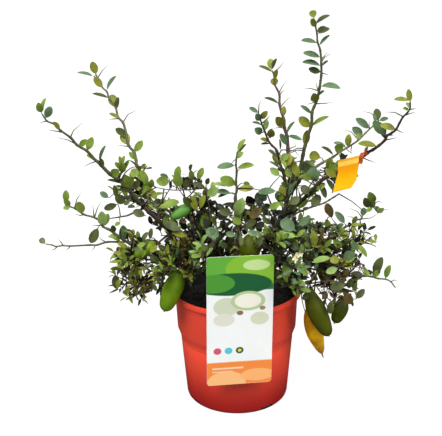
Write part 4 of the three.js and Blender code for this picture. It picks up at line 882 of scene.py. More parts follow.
# how wide leaves are along their length, as shares of it and of their half breadth: narrow ones are pointed
leafShape = dict(along=(0, 0.1, 0.2, 0.4, 0.6, 0.8, 0.94),
                 blunt=(0.09, 0.12, 0.56, 0.94, 1.0, 0.8, 0.42),
                 pointed=(0.09, 0.22, 0.6, 1.0, 0.9, 0.56, 0.2), pointedBelow=0.19)


def leafFaces():
    # each station has a left, middle and right point, and the tip closes the outline
    tip = len(leafShape["along"]) * 3
    faces = []
    for i in range(0, tip - 3, 3):
        faces += [(i + 1, i + 4, i + 3, i), (i + 2, i + 5, i + 4, i + 1)]
    return faces + [(tip - 2, tip, tip - 3), (tip - 1, tip, tip - 2)]


leafPattern = leafFaces()


def addLeaf(heap, start, direction, face, length, breadth, fold, arch):
    width = np.cross(face, direction)
    outline = leafShape["pointed" if breadth < leafShape["pointedBelow"] else "blunt"]
    verts = []
    for along, half in zip(leafShape["along"], outline):
        bow = 4 * arch * along * (1 - along)
        middle = start + direction * (along * length) + face * (bow * length)
        wing = width * (half * breadth * length)
        rise = face * (fold * half * breadth * length)
        verts += [middle + wing + rise, middle, middle - wing + rise]
    verts.append(start + direction * length)
    heap.add(verts, leafPattern)


def framesAlong(line):
    # each point with two directions across the line, carried on without a twist
    last = len(line) - 1
    tangents = [unit(line[min(i + 1, last)] - line[max(i - 1, 0)]) for i in range(last + 1)]
    across, over = axesFor(tangents[0])
    for point, tangent in zip(line, tangents):
        over = unit(np.cross(across, tangent))
        across = unit(np.cross(tangent, over))
        yield point, across, over


def taper(girths, steps):
    return [lerp(*girths, i / steps) for i in range(steps + 1)]


def ringFaces(sides, steps):
    # the faces of a tube, from ring to ring
    return [(i * sides + k, (i + 1) * sides + k, (i + 1) * sides + (k + 1) % sides,
             i * sides + (k + 1) % sides) for i in range(steps) for k in range(sides)]


def addTube(heap, points, radii, sides):
    points = [np.asarray(point, float) for point in points]
    verts = []
    for (point, across, over), radius in zip(framesAlong(points), radii):
        verts += [point + around(across, over, turn) * radius for turn in turnsRound(sides)]
    faces = ringFaces(sides, len(points) - 1)
    first, last, end = len(verts), len(verts) + 1, (len(points) - 1) * sides
    for k in range(sides):
        faces += [(first, k, (k + 1) % sides), (last, end + (k + 1) % sides, end + k)]
    heap.add(verts + [points[0], points[-1]], faces)


leafHeaps = {tone: Heap() for tone in leafTones}
stemHeaps = {"greenStem": Heap(), "brownStem": Heap()}
twigHeap, spineHeap = Heap(), Heap()
brownShoots = {"shoot_dark_upright", "shoot_dark_side", "shoot_tagged"}
wood = []

freeOfPot = 1.5


def staysOpen(place):
    x, y = photoPoint(place)

    def within(middleX, middleY, halfX, halfY):
        return ((x - middleX) / halfX) ** 2 + ((y - middleY) / halfY) ** 2 < 1

    return (any(within(*oval) for oval in openings)
            or any(place[1] < depth and within(*oval) for *oval, depth in fruitViews))


def hasRoom(places):
    return not any(staysOpen(place) or inFixedSpace(place, freeOfPot) for place in places)


spineHabit = dict(length=(7, 15), ahead=(0.25, 0.5), bend=0.05, girths=(0.6, 0.42, 0.1), sides=4)


def spineAt(node, tangent, side, draw):
    length = lerp(*spineHabit["length"], draw())
    direction = unit(side + tangent * vary(spineHabit["ahead"], draw))
    bend = unit(np.cross(direction, tangent)) * (length * spineHabit["bend"] * (draw() - 0.5))
    tip = node + direction * length
    if hasRoom([tip]):
        addTube(spineHeap, [node, node + direction * length * 0.5 + bend, tip], spineHabit["girths"],
                spineHabit["sides"])


def pickToneWithPaintedShade(spray, draw, inner=0.0):
    # painted shade: the inside of a mass mostly gets the dark tone, its outside has the spray's own tones
    return "k" if draw() < inner else spray["tones"][int(draw() * len(spray["tones"]))]


twigletHabit = dict(sag=0.16, girths=(0.7, 0.55, 0.35), sides=4, turn=0.6, angle=(0.75, 0.4),
                    tipAngle=0.25, rise=0.25, leanMiddle=(0.5, 0.9, 0.5), lean=0.9, leanAhead=0.4,
                    size=(0.75, 0.45), breadth=(0.9, 0.25), fold=(0.15, 0.3), arch=(0.02, 0.08),
                    broadest=0.6, spineChance=0.4, spinePlace=0.35)


def growTwiglet(spray, start, direction, length, count, inner, draw):
    # a thin twig with small leaves on alternate sides and one at its tip
    habit = twigletHabit
    size, breadth, keep, more = spray["look"]
    count += more
    tone = pickToneWithPaintedShade(spray, draw, inner)
    across, over = axesFor(direction)
    sag = over * (length * habit["sag"] * (draw() - 0.5))
    end = start + direction * length
    middle = (start + end) / 2 + sag
    if draw() > keep or not hasRoom([middle, end]):
        return
    addTube(twigHeap, [start, middle, end], habit["girths"], habit["sides"])
    turn = draw() * pi * 2
    for k in range(count):
        share = (k + 1) / count
        place = lerp(lerp(start, middle, share), lerp(middle, end, share), share)
        turn += goldenAngle + (draw() - 0.5) * habit["turn"]
        side = around(across, over, turn)
        angle = habit["tipAngle"] if k == count - 1 else vary(habit["angle"], draw)
        ahead = unit(direction * cos(angle) + side * sin(angle) + up * habit["rise"])
        lean = (np.array([draw(), draw(), draw()]) - habit["leanMiddle"]) * habit["lean"]
        face = squared(up + (lean + direction * habit["leanAhead"]), ahead)
        leafLength = size * vary(habit["size"], draw)
        half, fold, arch = (vary(habit[key], draw) for key in ("breadth", "fold", "arch"))
        if hasRoom([place + ahead * leafLength * habit["broadest"], place + ahead * leafLength]):
            addLeaf(leafHeaps[tone], place, ahead, face, leafLength, breadth * half, fold, arch)
    if draw() < habit["spineChance"]:
        spineAt(lerp(start, end, habit["spinePlace"]), direction, side, draw)


bentHabit = dict(steps=4, bow=0.14, kink=0.35, girths=(1.0, 0.55), sides=5)


def bentTwig(start, end, draw):
    # a twig with a slight bow, and a kink at each node
    steps = bentHabit["steps"]
    length = norm(end - start)
    across, over = axesFor(unit(end - start))
    bow = (across * (draw() - 0.5) + over * (draw() - 0.5)) * length * bentHabit["bow"]
    points = []
    for i in range(steps + 1):
        share = i / steps
        kink = across * (bentHabit["kink"] * (-1) ** i) if 0 < i < steps else 0
        points.append(lerp(start, end, share) + bow * sin(pi * share) + kink)
    addTube(twigHeap, points, taper(bentHabit["girths"], steps), bentHabit["sides"])
    return points


stemHabit = dict(steps=24, swell=1.08, node=0.14, tip=0.2, sides=7, massSides=6)


def stemLine(spray):
    # the stem's centre line: nodes lie on its chords, and its corners are rounded off
    shares = [i / stemHabit["steps"] for i in range(stemHabit["steps"] + 1)]
    line = [onChords(spray["points"], spray["steps"], share)[0] for share in shares]
    smooth = [(line[i - 1] + 2 * line[i] + line[i + 1]) / 4 for i in range(1, len(line) - 1)]
    return shares, [line[0], *smooth, line[-1]]


shootLeafHabit = dict(shrink=0.86, breadth=0.95, fold=0.3, arch=(0.02, 0.07), spineChance=0.62,
                      pairChance=0.4, pairAhead=0.5, pairRise=0.4, pairLean=0.5, pairSize=0.72,
                      pairBreadth=0.26, pairArch=0.04)


def addRuleLeaf(spray, leaf, draw):
    habit, node = shootLeafHabit, leaf["node"]
    heap = leafHeaps[pickToneWithPaintedShade(spray, draw)]
    size = leaf["length"] * habit["shrink"]
    addLeaf(heap, node, leaf["direction"], leaf["face"], size, leaf["breadth"] * habit["breadth"],
            habit["fold"], vary(habit["arch"], draw))
    across, over = crossAxes(leaf["direction"], up)
    side = unit(over * (draw() - 0.5) + across * (1 if draw() < 0.5 else -1))
    if draw() < habit["spineChance"]:
        spineAt(node, leaf["face"], side, draw)
    if draw() < habit["pairChance"]:
        direction = unit(leaf["direction"] * habit["pairAhead"] - side + up * habit["pairRise"])
        addLeaf(heap, node, direction, squared(up + side * habit["pairLean"], direction),
                size * habit["pairSize"], habit["pairBreadth"], habit["fold"], habit["pairArch"])


def stemKind(spray):
    return "brownStem" if spray["name"] in brownShoots or spray["kind"] == "mass" else "greenStem"


def dressShoot(spray, draw):
    shares, line = stemLine(spray)
    radii = [lerp(*spray["radii"], share) * (stemHabit["swell"] + stemHabit["node"] * (-1) ** i)
             for i, share in enumerate(shares)]
    if spray["name"] != "twig_cut":
        radii[-1] = stemHabit["tip"]
    addTube(stemHeaps[stemKind(spray)], line, radii, stemHabit["sides"])
    for leaf in spray["leaves"]:
        addRuleLeaf(spray, leaf, draw)
    wood.extend(line)


measuredHabit = dict(
    samples=80, before=6, every=10, leavesBefore=4, between=4, foot=1.45, tip=0.85,
    node=1.2, end=0.5, sides=8, stalkFrom=2.6, stalkBack=2, stalkRise=1.5,
    stalkGirths=(0.85, 0.7, 0.5), stalkSides=6, spineGirths=(0.85, 0.595, 0.15), spineSides=5,
    spineBend=6, spineTip=10, broader=1.19, leastLength=(13, 3), longest=1.75,
    roundest=0.44, forward=0.75, forwardChance=0.7, forwardSpread=3, fold=(0.12, 0.2),
    arch=(0.03, 0.05))


def turnedFace(place, direction, turn):
    # the upper side of a leaf, turned from the front towards its edge with the higher side up
    front = squared(eye - place, direction)
    side = np.cross(direction, front)
    return around(front, side if side[2] > 0 else -side, turn)


def addMeasuredLeaf(start, spots, tone, draw):
    # a leaf whose tip and width show in the photo: where it seems too short, it comes forward or goes back
    habit = measuredHabit
    footX, footY, tipX, tipY, width = spots
    span = photoScale(start)
    width *= span * habit["broader"]
    seen = hypot(tipX - footX, tipY - footY) * span
    wanted = max(seen, vary(habit["leastLength"], draw), width * habit["longest"])
    forward = habit["forward"] * sqrt(wanted * wanted - seen * seen)
    forward *= 1 if draw() < habit["forwardChance"] else -1
    tip = photoPlace(tipX, tipY, start[1] - forward - habit["forwardSpread"] * (draw() - 0.5))
    length = norm(tip - start)
    direction = (tip - start) / length
    breadth = max(width, habit["roundest"] * length)
    face = turnedFace(start, direction, acos(width / breadth))
    addLeaf(leafHeaps[tone], start, direction, face, length, breadth / 2 / length,
            vary(habit["fold"], draw), vary(habit["arch"], draw))


def behindFlag(x, y, depth):
    # the place that shows there at that depth, or behind the flag where it would cut the plate
    place = photoPlace(x, y, depth)
    along, behind = (place - flagFoot) @ flagBearing, (place - flagFoot) @ np.cross(up, flagBearing)
    if -flagRoom["aside"] < along < flagRoom["after"] and behind < flagRoom["aside"]:
        place = photoPlace(x, y, depth + flagRoom["aside"] - behind)
    return place


def nearest(x, y, among):
    return int(np.argmin(np.hypot(among[:, 0] - x, among[:, 1] - y)))


def measuredStem(spray, stem):
    # the source's own curve gives the depths, and the photo the corners that the stem turns at
    habit, count = measuredHabit, measuredHabit["samples"]
    samples = np.array(curveThrough(spray["points"], count))
    seen = np.array([photoPoint(sample) for sample in samples])
    begin = nearest(*stem[0], seen)
    corners = [samples[i] for i in range(0, max(1, begin - habit["before"]), habit["every"])]
    corners += [behindFlag(x, y, samples[nearest(x, y, seen)][1]) for x, y in stem]
    between = habit["between"]
    steps = between * (len(corners) - 1)
    line = np.array(curveThrough(corners, steps))
    radii = taper((spray["girth"] * habit["foot"], habit["tip"]), steps)
    radii = [radius * (1 if i % between else habit["node"]) for i, radius in enumerate(radii)]
    addTube(stemHeaps[stemKind(spray)], line, radii[:-1] + [habit["end"]], habit["sides"])
    wood.extend(line)
    fine = [lerp(start, end, k / between) for start, end in zip(line, line[1:]) for k in range(between)]
    return np.array(fine + [line[-1]]), begin / count


def dressMeasured(spray, tones, stem, leaves, spines, draw):
    habit = measuredHabit
    fine, begin = measuredStem(spray, stem)
    shown = np.array([photoPoint(place) for place in fine])
    for leaf, tone in zip(leaves, tones):
        index = nearest(leaf[0], leaf[1], shown)
        foot = node = fine[index]
        if norm(shown[index] - leaf[:2]) > habit["stalkFrom"]:
            foot = photoPlace(leaf[0], leaf[1], node[1] - habit["stalkBack"])
            bend = (node + foot) / 2 + up * habit["stalkRise"]
            addTube(stemHeaps[stemKind(spray)], [node, bend, foot], habit["stalkGirths"],
                    habit["stalkSides"])
        addMeasuredLeaf(foot, leaf, tone, draw)
    for x, y, bendX, bendY, tipX, tipY in spines:
        node = fine[nearest(x, y, shown)]
        bend = photoPlace(bendX, bendY, node[1] + habit["spineBend"] * (draw() - 0.5))
        end = photoPlace(tipX, tipY, node[1] + habit["spineTip"] * (draw() - 0.5))
        addTube(spineHeap, [node, bend, end], habit["spineGirths"], habit["spineSides"])
    for leaf in spray["leaves"]:
        if leaf["along"] < begin - habit["leavesBefore"] / habit["samples"]:
            addRuleLeaf(spray, leaf, draw)


outerHabit = dict(seed=77, twigSteps=12, twigGirths=(1.0, 0.5), stalkGirths=(0.85, 0.65, 0.45),
                  sides=5, stalkBack=3, stalkRise=2)


def hangOuterLeaves():
    # each on a fine twig from the nearest wood, which passes behind it
    habit, draw = outerHabit, seededRandom(outerHabit["seed"])
    places = list(wood)

    def nearWood(foot):
        return places[np.argmin(norm(np.array(places) - foot, axis=1))]

    for depth, tones, leaves, twigs in outerLeaves.values():
        for corners in twigs:
            points = [photoPlace(x, y, depth) for x, y in corners]
            steps = habit["twigSteps"]
            line = [nearWood(points[0])] + curveThrough(points, steps)
            addTube(twigHeap, line, taper(habit["twigGirths"], steps + 1), habit["sides"])
            places.extend(line[1:])
        for leaf, tone in zip(leaves, tones):
            foot = photoPlace(leaf[0], leaf[1], depth)
            near = nearWood(foot)
            middle = (near + foot) / 2 + np.array((0, habit["stalkBack"], habit["stalkRise"] * draw()))
            addTube(twigHeap, [near, middle, foot], habit["stalkGirths"], habit["sides"])
            addMeasuredLeaf(foot, leaf, tone, draw)


def liesBetween(place, start, end):
    way = norm(place - start) + norm(end - place)
    return way < norm(end - start) + 0.01


# twiglets on a mass's stem, twigs and leaves: length, how far ahead they point, leaves, share given the dark
# tone as painted shade
massTwiglets = dict(
    stem={"length": (10, 8), "ahead": 0.4, "leaves": 2, "inner": 0.6, "every": 3},
    twig={"length": (8, 7), "ahead": 0.7, "leaves": 2, "inner": 0.35},
    leaf={"length": 0.7, "leaves": 3, "inner": 0.1},
)


def growBeside(spray, kind, start, tangent, draw):
    habit = massTwiglets[kind]
    direction = unit(around(*axesFor(tangent), draw() * pi * 2) + tangent * habit["ahead"])
    growTwiglet(spray, start, direction, vary(habit["length"], draw), habit["leaves"], habit["inner"], draw)


def dressMass(spray, draw):
    shares, line = stemLine(spray)
    addTube(stemHeaps[stemKind(spray)], line, [lerp(*spray["radii"], share) for share in shares],
            stemHabit["massSides"])
    wood.extend(line)
    for i in range(2, len(line) - 1, massTwiglets["stem"]["every"]):
        growBeside(spray, "stem", line[i], unit(line[i + 1] - line[i - 1]), draw)
    bare = [twig for twig in spray["twigs"] if not hasRoom([(twig[0] + twig[1]) / 2, twig[1]])]
    for twig in spray["twigs"]:
        if any(twig is other for other in bare):
            continue
        points = bentTwig(*twig, draw)
        wood.extend(points)
        for k in range(1, len(points)):
            growBeside(spray, "twig", points[k], unit(points[k] - points[k - 1]), draw)
    habit = massTwiglets["leaf"]
    for leaf in spray["leaves"]:
        if not any(liesBetween(leaf["node"], *twig) for twig in bare):
            growTwiglet(spray, leaf["node"], leaf["direction"], leaf["length"] * habit["length"],
                        habit["leaves"], habit["inner"], draw)


finerSeed = 1000  # added to the seed that a spray grew from

for spray in sprays:
    draw = seededRandom(spray["seed"] + finerSeed)
    if spray["name"] in measured:
        dressMeasured(spray, *measured[spray["name"]], draw)
    else:
        (dressShoot if spray["kind"] == "shoot" else dressMass)(spray, draw)
hangOuterLeaves()
print("foliage:", {tone: len(heap.faces) // len(leafPattern) for tone, heap in leafHeaps.items()})


def enter(piece, slot, *nodes):
    # the piece rides with the plant, and takes the place of the nodes that are named
    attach(piece, "root")
    if nodes:
        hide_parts(*nodes)


def pieceFrom(name, heap, material, slot, *nodes, smooth=True):
    mesh = bpy.data.meshes.new(name)
    mesh.from_pydata([tuple(vert) for vert in np.concatenate(heap.verts) * mm], [], heap.faces)
    mesh.materials.append(material)
    mesh.validate()
    mesh.update()
    piece = bpy.data.objects.new(name, mesh)
    bpy.context.scene.collection.objects.link(piece)
    if smooth:
        mesh.polygons.foreach_set("use_smooth", [True] * len(mesh.polygons))
    enter(piece, slot, *nodes)
    return piece


for tone, heap in leafHeaps.items():
    pieceFrom("leaves" + leafTones[tone][0], heap, leafMaterials[tone], "foliage")
woodPieces = [pieceFrom(kind + "s", heap, materials[kind], "shoot_leaves", *[
    spray["name"] for spray in sprays if spray["kind"] == "shoot" and stemKind(spray) == kind])
    for kind, heap in stemHeaps.items()]
woodPieces += [
    pieceFrom("fineTwigs", twigHeap, materials["brownStem"], "foliage",
              *[spray["name"] for spray in sprays if spray["kind"] == "mass"]),
    pieceFrom("spines", spineHeap, materials["spine"], "shoot_leaves")]


# Trunk and boughs with their bark

barkHabit = dict(
    ridge=0.09, ridgeScale=0.64, noise=(0.7, 2.1, 4),
    trunkSides=44, trunkSteps=60, trunkStretch=0.35, footDrop=3, footFade=6,
    tipFrom=0.9, tipLength=0.1, tipShrink=0.5,
    boughSides=20, boughSteps=46, boughStretch=0.8, collar=0.5, collarFade=14,
    knot=0.3, knotPace=23, knotShift=1.7, knotNarrow=12,
)


def addBarked(heap, frames, sides, radiusAt, stretch):
    # a limb with ridges in its bark, and a flat end at its foot and its tip
    verts = []
    for i, (middle, across, over) in enumerate(frames):
        for turn in turnsRound(sides):
            outward = around(across, over, turn)
            radius, kept = radiusAt(i / (len(frames) - 1), turn)
            x, y, z = middle + outward * radius
            place = Vector((x, y, z * stretch)) * barkHabit["ridgeScale"]
            radius *= (1 + barkHabit["ridge"] * noise.fractal(place, *barkHabit["noise"])) * kept
            verts.append(middle + outward * radius)
    ends = [tuple(range(sides)), tuple(len(verts) - sides + k for k in reversed(range(sides)))]
    heap.add(verts, ringFaces(sides, len(frames) - 1) + ends)


def makeTrunk():
    heap, habit = Heap(), barkHabit
    height, steps = trunk["top"][2] - trunkFoot, habit["trunkSteps"]

    def radiusAt(share, turn):
        flare = exp(-share * height / trunk["flareHeight"])
        lobes = 1 + trunk["lobeDepth"] * flare * cos(trunk["rootLobes"] * turn)
        radius = (lerp(trunk["footRadius"], trunk["topRadius"], share) + trunk["flare"] * flare) * lobes
        past = max(0, (share - habit["tipFrom"]) / habit["tipLength"])
        return radius, 1 - habit["tipShrink"] * past ** 2

    line = [middle - up * (habit["footDrop"] * (1 - i / steps) ** habit["footFade"])
            for i, middle in enumerate(curveThrough(trunkPoints, steps))]
    across, over = -np.eye(3)[0], np.eye(3)[1]
    addBarked(heap, [(middle, across, over) for middle in line], habit["trunkSides"], radiusAt,
              habit["trunkStretch"])
    return pieceFrom("trunkBark", heap, materials["bark"], "bark", "trunk")


def makeBoughs():
    heap, habit = Heap(), barkHabit
    for number, (name, at, path, radii) in enumerate(boughs):
        def radiusAt(share, turn):
            knot = max(0, sin(share * habit["knotPace"] + number * habit["knotShift"]))
            radius = lerp(*radii, share) * (1 + habit["collar"] * exp(-share * habit["collarFade"]))
            return radius * (1 + habit["knot"] * knot ** habit["knotNarrow"]), 1

        line = curveThrough(limbs[name][0], habit["boughSteps"])
        addBarked(heap, list(framesAlong(line)), habit["boughSides"], radiusAt, habit["boughStretch"])
    nodes = ["bough_" + bough[0] for bough in boughs]
    return pieceFrom("boughBark", heap, materials["bark"], "bark", *nodes)


def outwardNormals(piece):
    mesh = bmesh.new()
    mesh.from_mesh(piece.data)
    bmesh.ops.recalc_face_normals(mesh, faces=mesh.faces)
    mesh.to_mesh(piece.data)
    mesh.free()


for piece in (makeTrunk(), makeBoughs(), *woodPieces):
    outwardNormals(piece)
print("limbs and twigs made")


# Pot

def startFresh():
    if bpy.context.object and bpy.context.object.mode != "OBJECT":
        leaveEdit()
    bpy.ops.object.select_all(action="DESELECT")


def added(primitive, **settings):
    # a new primitive, with nothing else selected
    startFresh()
    primitive(**settings)
    return bpy.context.object


def activate(*pieces):
    # all are selected, and the last one is the active one
    startFresh()
    for piece in pieces:
        piece.select_set(True)
    bpy.context.view_layer.objects.active = pieces[-1]


def applyPlace():
    bpy.ops.object.transform_apply(location=True, rotation=True, scale=True)


def editAll():
    bpy.ops.object.mode_set(mode="EDIT")
    bpy.ops.mesh.select_all(action="SELECT")


def leaveEdit():
    bpy.ops.object.mode_set(mode="OBJECT")


def extrudeBy(x, y, z):
    bpy.ops.mesh.extrude_region_move(TRANSFORM_OT_translate={"value": (x * mm, y * mm, z * mm)})


def roundOff(radius, segments, affect="EDGES"):
    bpy.ops.mesh.bevel(offset=radius * mm, segments=segments, affect=affect)


def thicken(piece, thickness, offset=0, even=False):
    body = piece.modifiers.new("body", "SOLIDIFY")
    body.thickness = thickness * mm
    body.offset = offset
    body.use_even_offset = even
    bpy.ops.object.modifier_apply(modifier=body.name)


def addMap(piece, name, spotAt):
    layer = piece.data.uv_layers.new(name=name)
    for loop in piece.data.loops:
        layer.data[loop.index].uv = spotAt(piece.data.vertices[loop.vertex_index].co / mm)


def coat(piece, *chosen):
    for material in chosen:
        piece.data.materials.append(material)


def smoothBelow(angle):
    bpy.ops.object.shade_smooth_by_angle(angle=radians(angle))


def keepPiece(piece, name, slot, *nodes):
    # its place goes into its mesh, and it rides with the plant
    activate(piece)
    applyPlace()
    piece.name = name
    piece.data.name = name
    enter(piece, slot, *nodes)


pot = dict(
    sides=128,
    # radius and height of each ring, up the outside, over the lip and down inside
    rings=[
        (64, 0), (66.2, 0.6), (67.5, 2), (68.2, 4.6), (73, 66), (74.2, 81.2), (73.9, 81.8), (73.9, 82.6),
        (74.4, 83.2), (74.8, 88.4), (75.4, 89.6), (77.9, 97), (78.5, 98.4), (80.4, 142), (80.6, 143),
        (84, 143), (84.7, 143.7), (85, 149), (84.6, 149.8), (83.9, 150), (82.4, 150), (81.8, 149.6),
        (81.4, 148.8), (78.9, 142.6), (76.9, 98.6), (76.2, 97.4), (73.8, 90.2), (73.2, 88.6), (66.8, 5.2),
        (65, 2.8), (63, 2.4)],
    notches=4, firstNotch=33, notchWidth=19, notchDepth=5, notchBeyond=3, notchHeight=5.6,
    notchShadeLedge=1.1, notchFrom=70.5, notchRound=1.2, notchSteps=3, smoothBelow=32,
    # black faces: inside from this height and on the floor below this one; painted shade in the notches and
    # round the foot's lower bevel within a radius, and on the ledge left under each notch, by radius
    insideFrom=2.5, floorBelow=20, floorLevel=0.7, notchShadeReach=67.4, shadeLedgeFrom=60,
    shadeLedgeHalfTurn=8, margin=0.1,
)


def growRings(rings, sides):
    # one ring, extruded and resized from height to height
    radius, height = rings[0]
    piece = added(bpy.ops.mesh.primitive_circle_add, vertices=sides, radius=radius * mm,
                  location=(0, 0, height * mm))
    applyPlace()
    editAll()
    for nextRadius, nextHeight in rings[1:]:
        extrudeBy(0, 0, nextHeight - height)
        grow = nextRadius / radius
        bpy.ops.transform.resize(value=(grow, grow, 1))
        radius, height = nextRadius, nextHeight
    return piece


def selectWhere(piece, test):
    # the test is given each corner's place in mm
    bpy.ops.mesh.select_mode(type="VERT")
    bpy.ops.mesh.select_all(action="DESELECT")
    mesh = bmesh.from_edit_mesh(piece.data)
    for vert in mesh.verts:
        vert.select = test(vert.co / mm)
    mesh.select_flush_mode()
    bmesh.update_edit_mesh(piece.data)


def cutNotch(piece, degrees):
    turn = radians(degrees)
    # the cut stops above the ground and leaves a ledge, which is painted black as shade inside the notch
    low, high = pot["notchShadeLedge"], pot["notchHeight"]
    place = Vector((0, pot["notchDepth"] / 2 - pot["notchFrom"], (low + high) / 2)) * mm
    place = Matrix.Rotation(turn, 3, "Z") @ place
    cutter = added(bpy.ops.mesh.primitive_cube_add, size=1, location=place, rotation=(0, 0, turn))
    cutter.scale = (pot["notchWidth"] * mm, (pot["notchDepth"] + pot["notchBeyond"]) * mm,
                    (high - low) * mm)
    applyPlace()
    editAll()
    roundOff(pot["notchRound"], pot["notchSteps"])
    startFresh()
    cut = piece.modifiers.new("notch", "BOOLEAN")
    cut.object = cutter
    cut.operation = "DIFFERENCE"
    bpy.context.view_layer.objects.active = piece
    bpy.ops.object.modifier_apply(modifier=cut.name)
    bpy.data.objects.remove(cutter)


# black inside the pot and on its floor; painted shade in the notches, round the foot's lower bevel and on
# the ledges under the notches
def isBlackOrPaintedShade(face, quarter):
    middle, normal = face.center / mm, face.normal
    reach = hypot(middle.x, middle.y)
    inside = middle.x * normal.x + middle.y * normal.y < -pot["margin"] and middle.z > pot["insideFrom"]
    onFloor = normal.z > pot["floorLevel"] and middle.z < pot["floorBelow"]
    shadeInNotch = (pot["notchShadeLedge"] - pot["margin"] < middle.z < pot["notchHeight"] + pot["margin"]
               and reach < pot["notchShadeReach"])
    turn = degrees(atan2(middle.x, -middle.y)) - pot["firstNotch"]
    aside = (turn + quarter / 2) % quarter - quarter / 2
    shadeUnderNotch = (reach > pot["shadeLedgeFrom"] and middle.z < pot["notchShadeLedge"]
                  and abs(aside) < pot["shadeLedgeHalfTurn"])
    return inside or onFloor or shadeInNotch or shadeUnderNotch


def makePot():
    piece = growRings(pot["rings"], pot["sides"])
    bpy.ops.mesh.edge_face_add()
    selectWhere(piece, lambda spot: spot.z < pot["margin"])
    bpy.ops.mesh.edge_face_add()
    bpy.ops.mesh.select_all(action="SELECT")
    bpy.ops.mesh.normals_make_consistent(inside=False)
    leaveEdit()
    quarter = 360 / pot["notches"]
    for number in range(pot["notches"]):
        cutNotch(piece, pot["firstNotch"] + quarter * number)
    coat(piece, materials["potRed"], materials["potBlackAndShade"])
    for face in piece.data.polygons:
        face.material_index = 1 if isBlackOrPaintedShade(face, quarter) else 0
    activate(piece)
    smoothBelow(pot["smoothBelow"])
    keepPiece(piece, "nurseryPot", "pot_plastic", "pot")


makePot()
print("pot made")


# Soil: a lumpy bed with loose crumbs

soil = dict(
    radius=78.0, cuts=110, edge=1.2, depth=12, mound=1.5, sink=0.6,
    # scale, layer, octaves and height of the lumps and of the finer ones
    lumps=[(0.05, 0, 4, 1.32), (0.3, 5, 3, 0.9)], rough=(0.8, 2.0),
    crumbs=900, seed=7, crumbReach=0.97, roundTrunk=16, crumbLift=0.3, crumbSpin=6,
    crumbSize=[(0.7, 1.6, 2), (0.5, 1.1, 2), (0.4, 0.6, 1)],  # least, how much more, how rare that is
    crumb=[(1, 1, 1), (-1, -1, 1), (-1, 1, -1), (1, -1, -1), (1.2, 0, 0), (-1.2, 0, 0), (0, 1.2, 0),
           (0, -1.2, 0), (0, 0, 1.1), (0, 0, -1.1)],
)


def soilHeight(x, y):
    height = soilLevel - soil["mound"] * (hypot(x, y) / soil["radius"]) ** 2 - soil["sink"]
    for scale, layer, octaves, rise in soil["lumps"]:
        height += rise * noise.fractal(Vector((x * scale, y * scale, layer)), *soil["rough"], octaves)
    return height


def makeSoil():
    piece = added(bpy.ops.mesh.primitive_grid_add, x_subdivisions=soil["cuts"],
                  y_subdivisions=soil["cuts"], size=2 * soil["radius"] * mm)
    bpy.ops.object.mode_set(mode="EDIT")
    selectWhere(piece, lambda spot: hypot(spot.x, spot.y) > soil["radius"] - soil["edge"])
    bpy.ops.mesh.delete(type="VERT")
    leaveEdit()
    for vert in piece.data.vertices:
        vert.co.z = soilHeight(vert.co.x / mm, vert.co.y / mm) * mm
    editAll()
    extrudeBy(0, 0, -soil["depth"])
    leaveEdit()
    outwardNormals(piece)
    coat(piece, materials["soil"])
    bpy.ops.object.shade_smooth()
    keepPiece(piece, "soilBed", "potting_soil", "soil")


def makeCrumbs():
    heap = Heap()
    draw = seededRandom(soil["seed"])
    shape = bmesh.new()
    for corner in soil["crumb"]:
        shape.verts.new(corner)
    bmesh.ops.convex_hull(shape, input=shape.verts)
    shape.verts.index_update()
    faces = [tuple(vert.index for vert in face.verts) for face in shape.faces]
    base = np.array([tuple(vert.co) for vert in shape.verts])
    shape.free()
    for _ in range(soil["crumbs"]):
        turn, reach = draw() * 2 * pi, soil["radius"] * sqrt(draw()) * soil["crumbReach"]
        x, y = reach * cos(turn), reach * sin(turn)
        if hypot(x - trunk["foot"][0], y - trunk["foot"][1]) < soil["roundTrunk"]:
            continue
        size = np.array([least + more * draw() ** rare for least, more, rare in soil["crumbSize"]])
        spin = np.array(Euler([draw() * soil["crumbSpin"] for _ in range(3)]).to_matrix())
        heap.add(base * size @ spin.T + np.array((x, y, soilHeight(x, y) + soil["crumbLift"])), faces)
    pieceFrom("soilCrumbs", heap, materials["crumbs"], "potting_soil", smooth=False)


makeSoil()
makeCrumbs()
print("soil made")


# Label card

def boxMask(graph, spot, low, high, soft=0.004):
    # 1 inside the rectangle between two corners of the card's own 0 to 1 coordinates
    mask = 1
    for source, start, end in zip(spot, low, high):
        for edge, sign in ((start, 1), (end, -1)):
            step = graph.spread(source, 0, 1, edge - soft * sign, edge + soft * sign)
            mask = graph.math("MULTIPLY", mask, step)
    return mask


def ovalMask(graph, spot, middle, half, soft=0.06):
    # 1 inside an oval, fading over its edge
    total = 0
    for source, centre, reach in zip(spot, middle, half):
        share = graph.math("DIVIDE", graph.math("SUBTRACT", source, centre), reach)
        total = graph.math("ADD", total, graph.math("POWER", share, 2))
    return graph.spread(total, 0, 1, 1 + soft, 1 - soft)


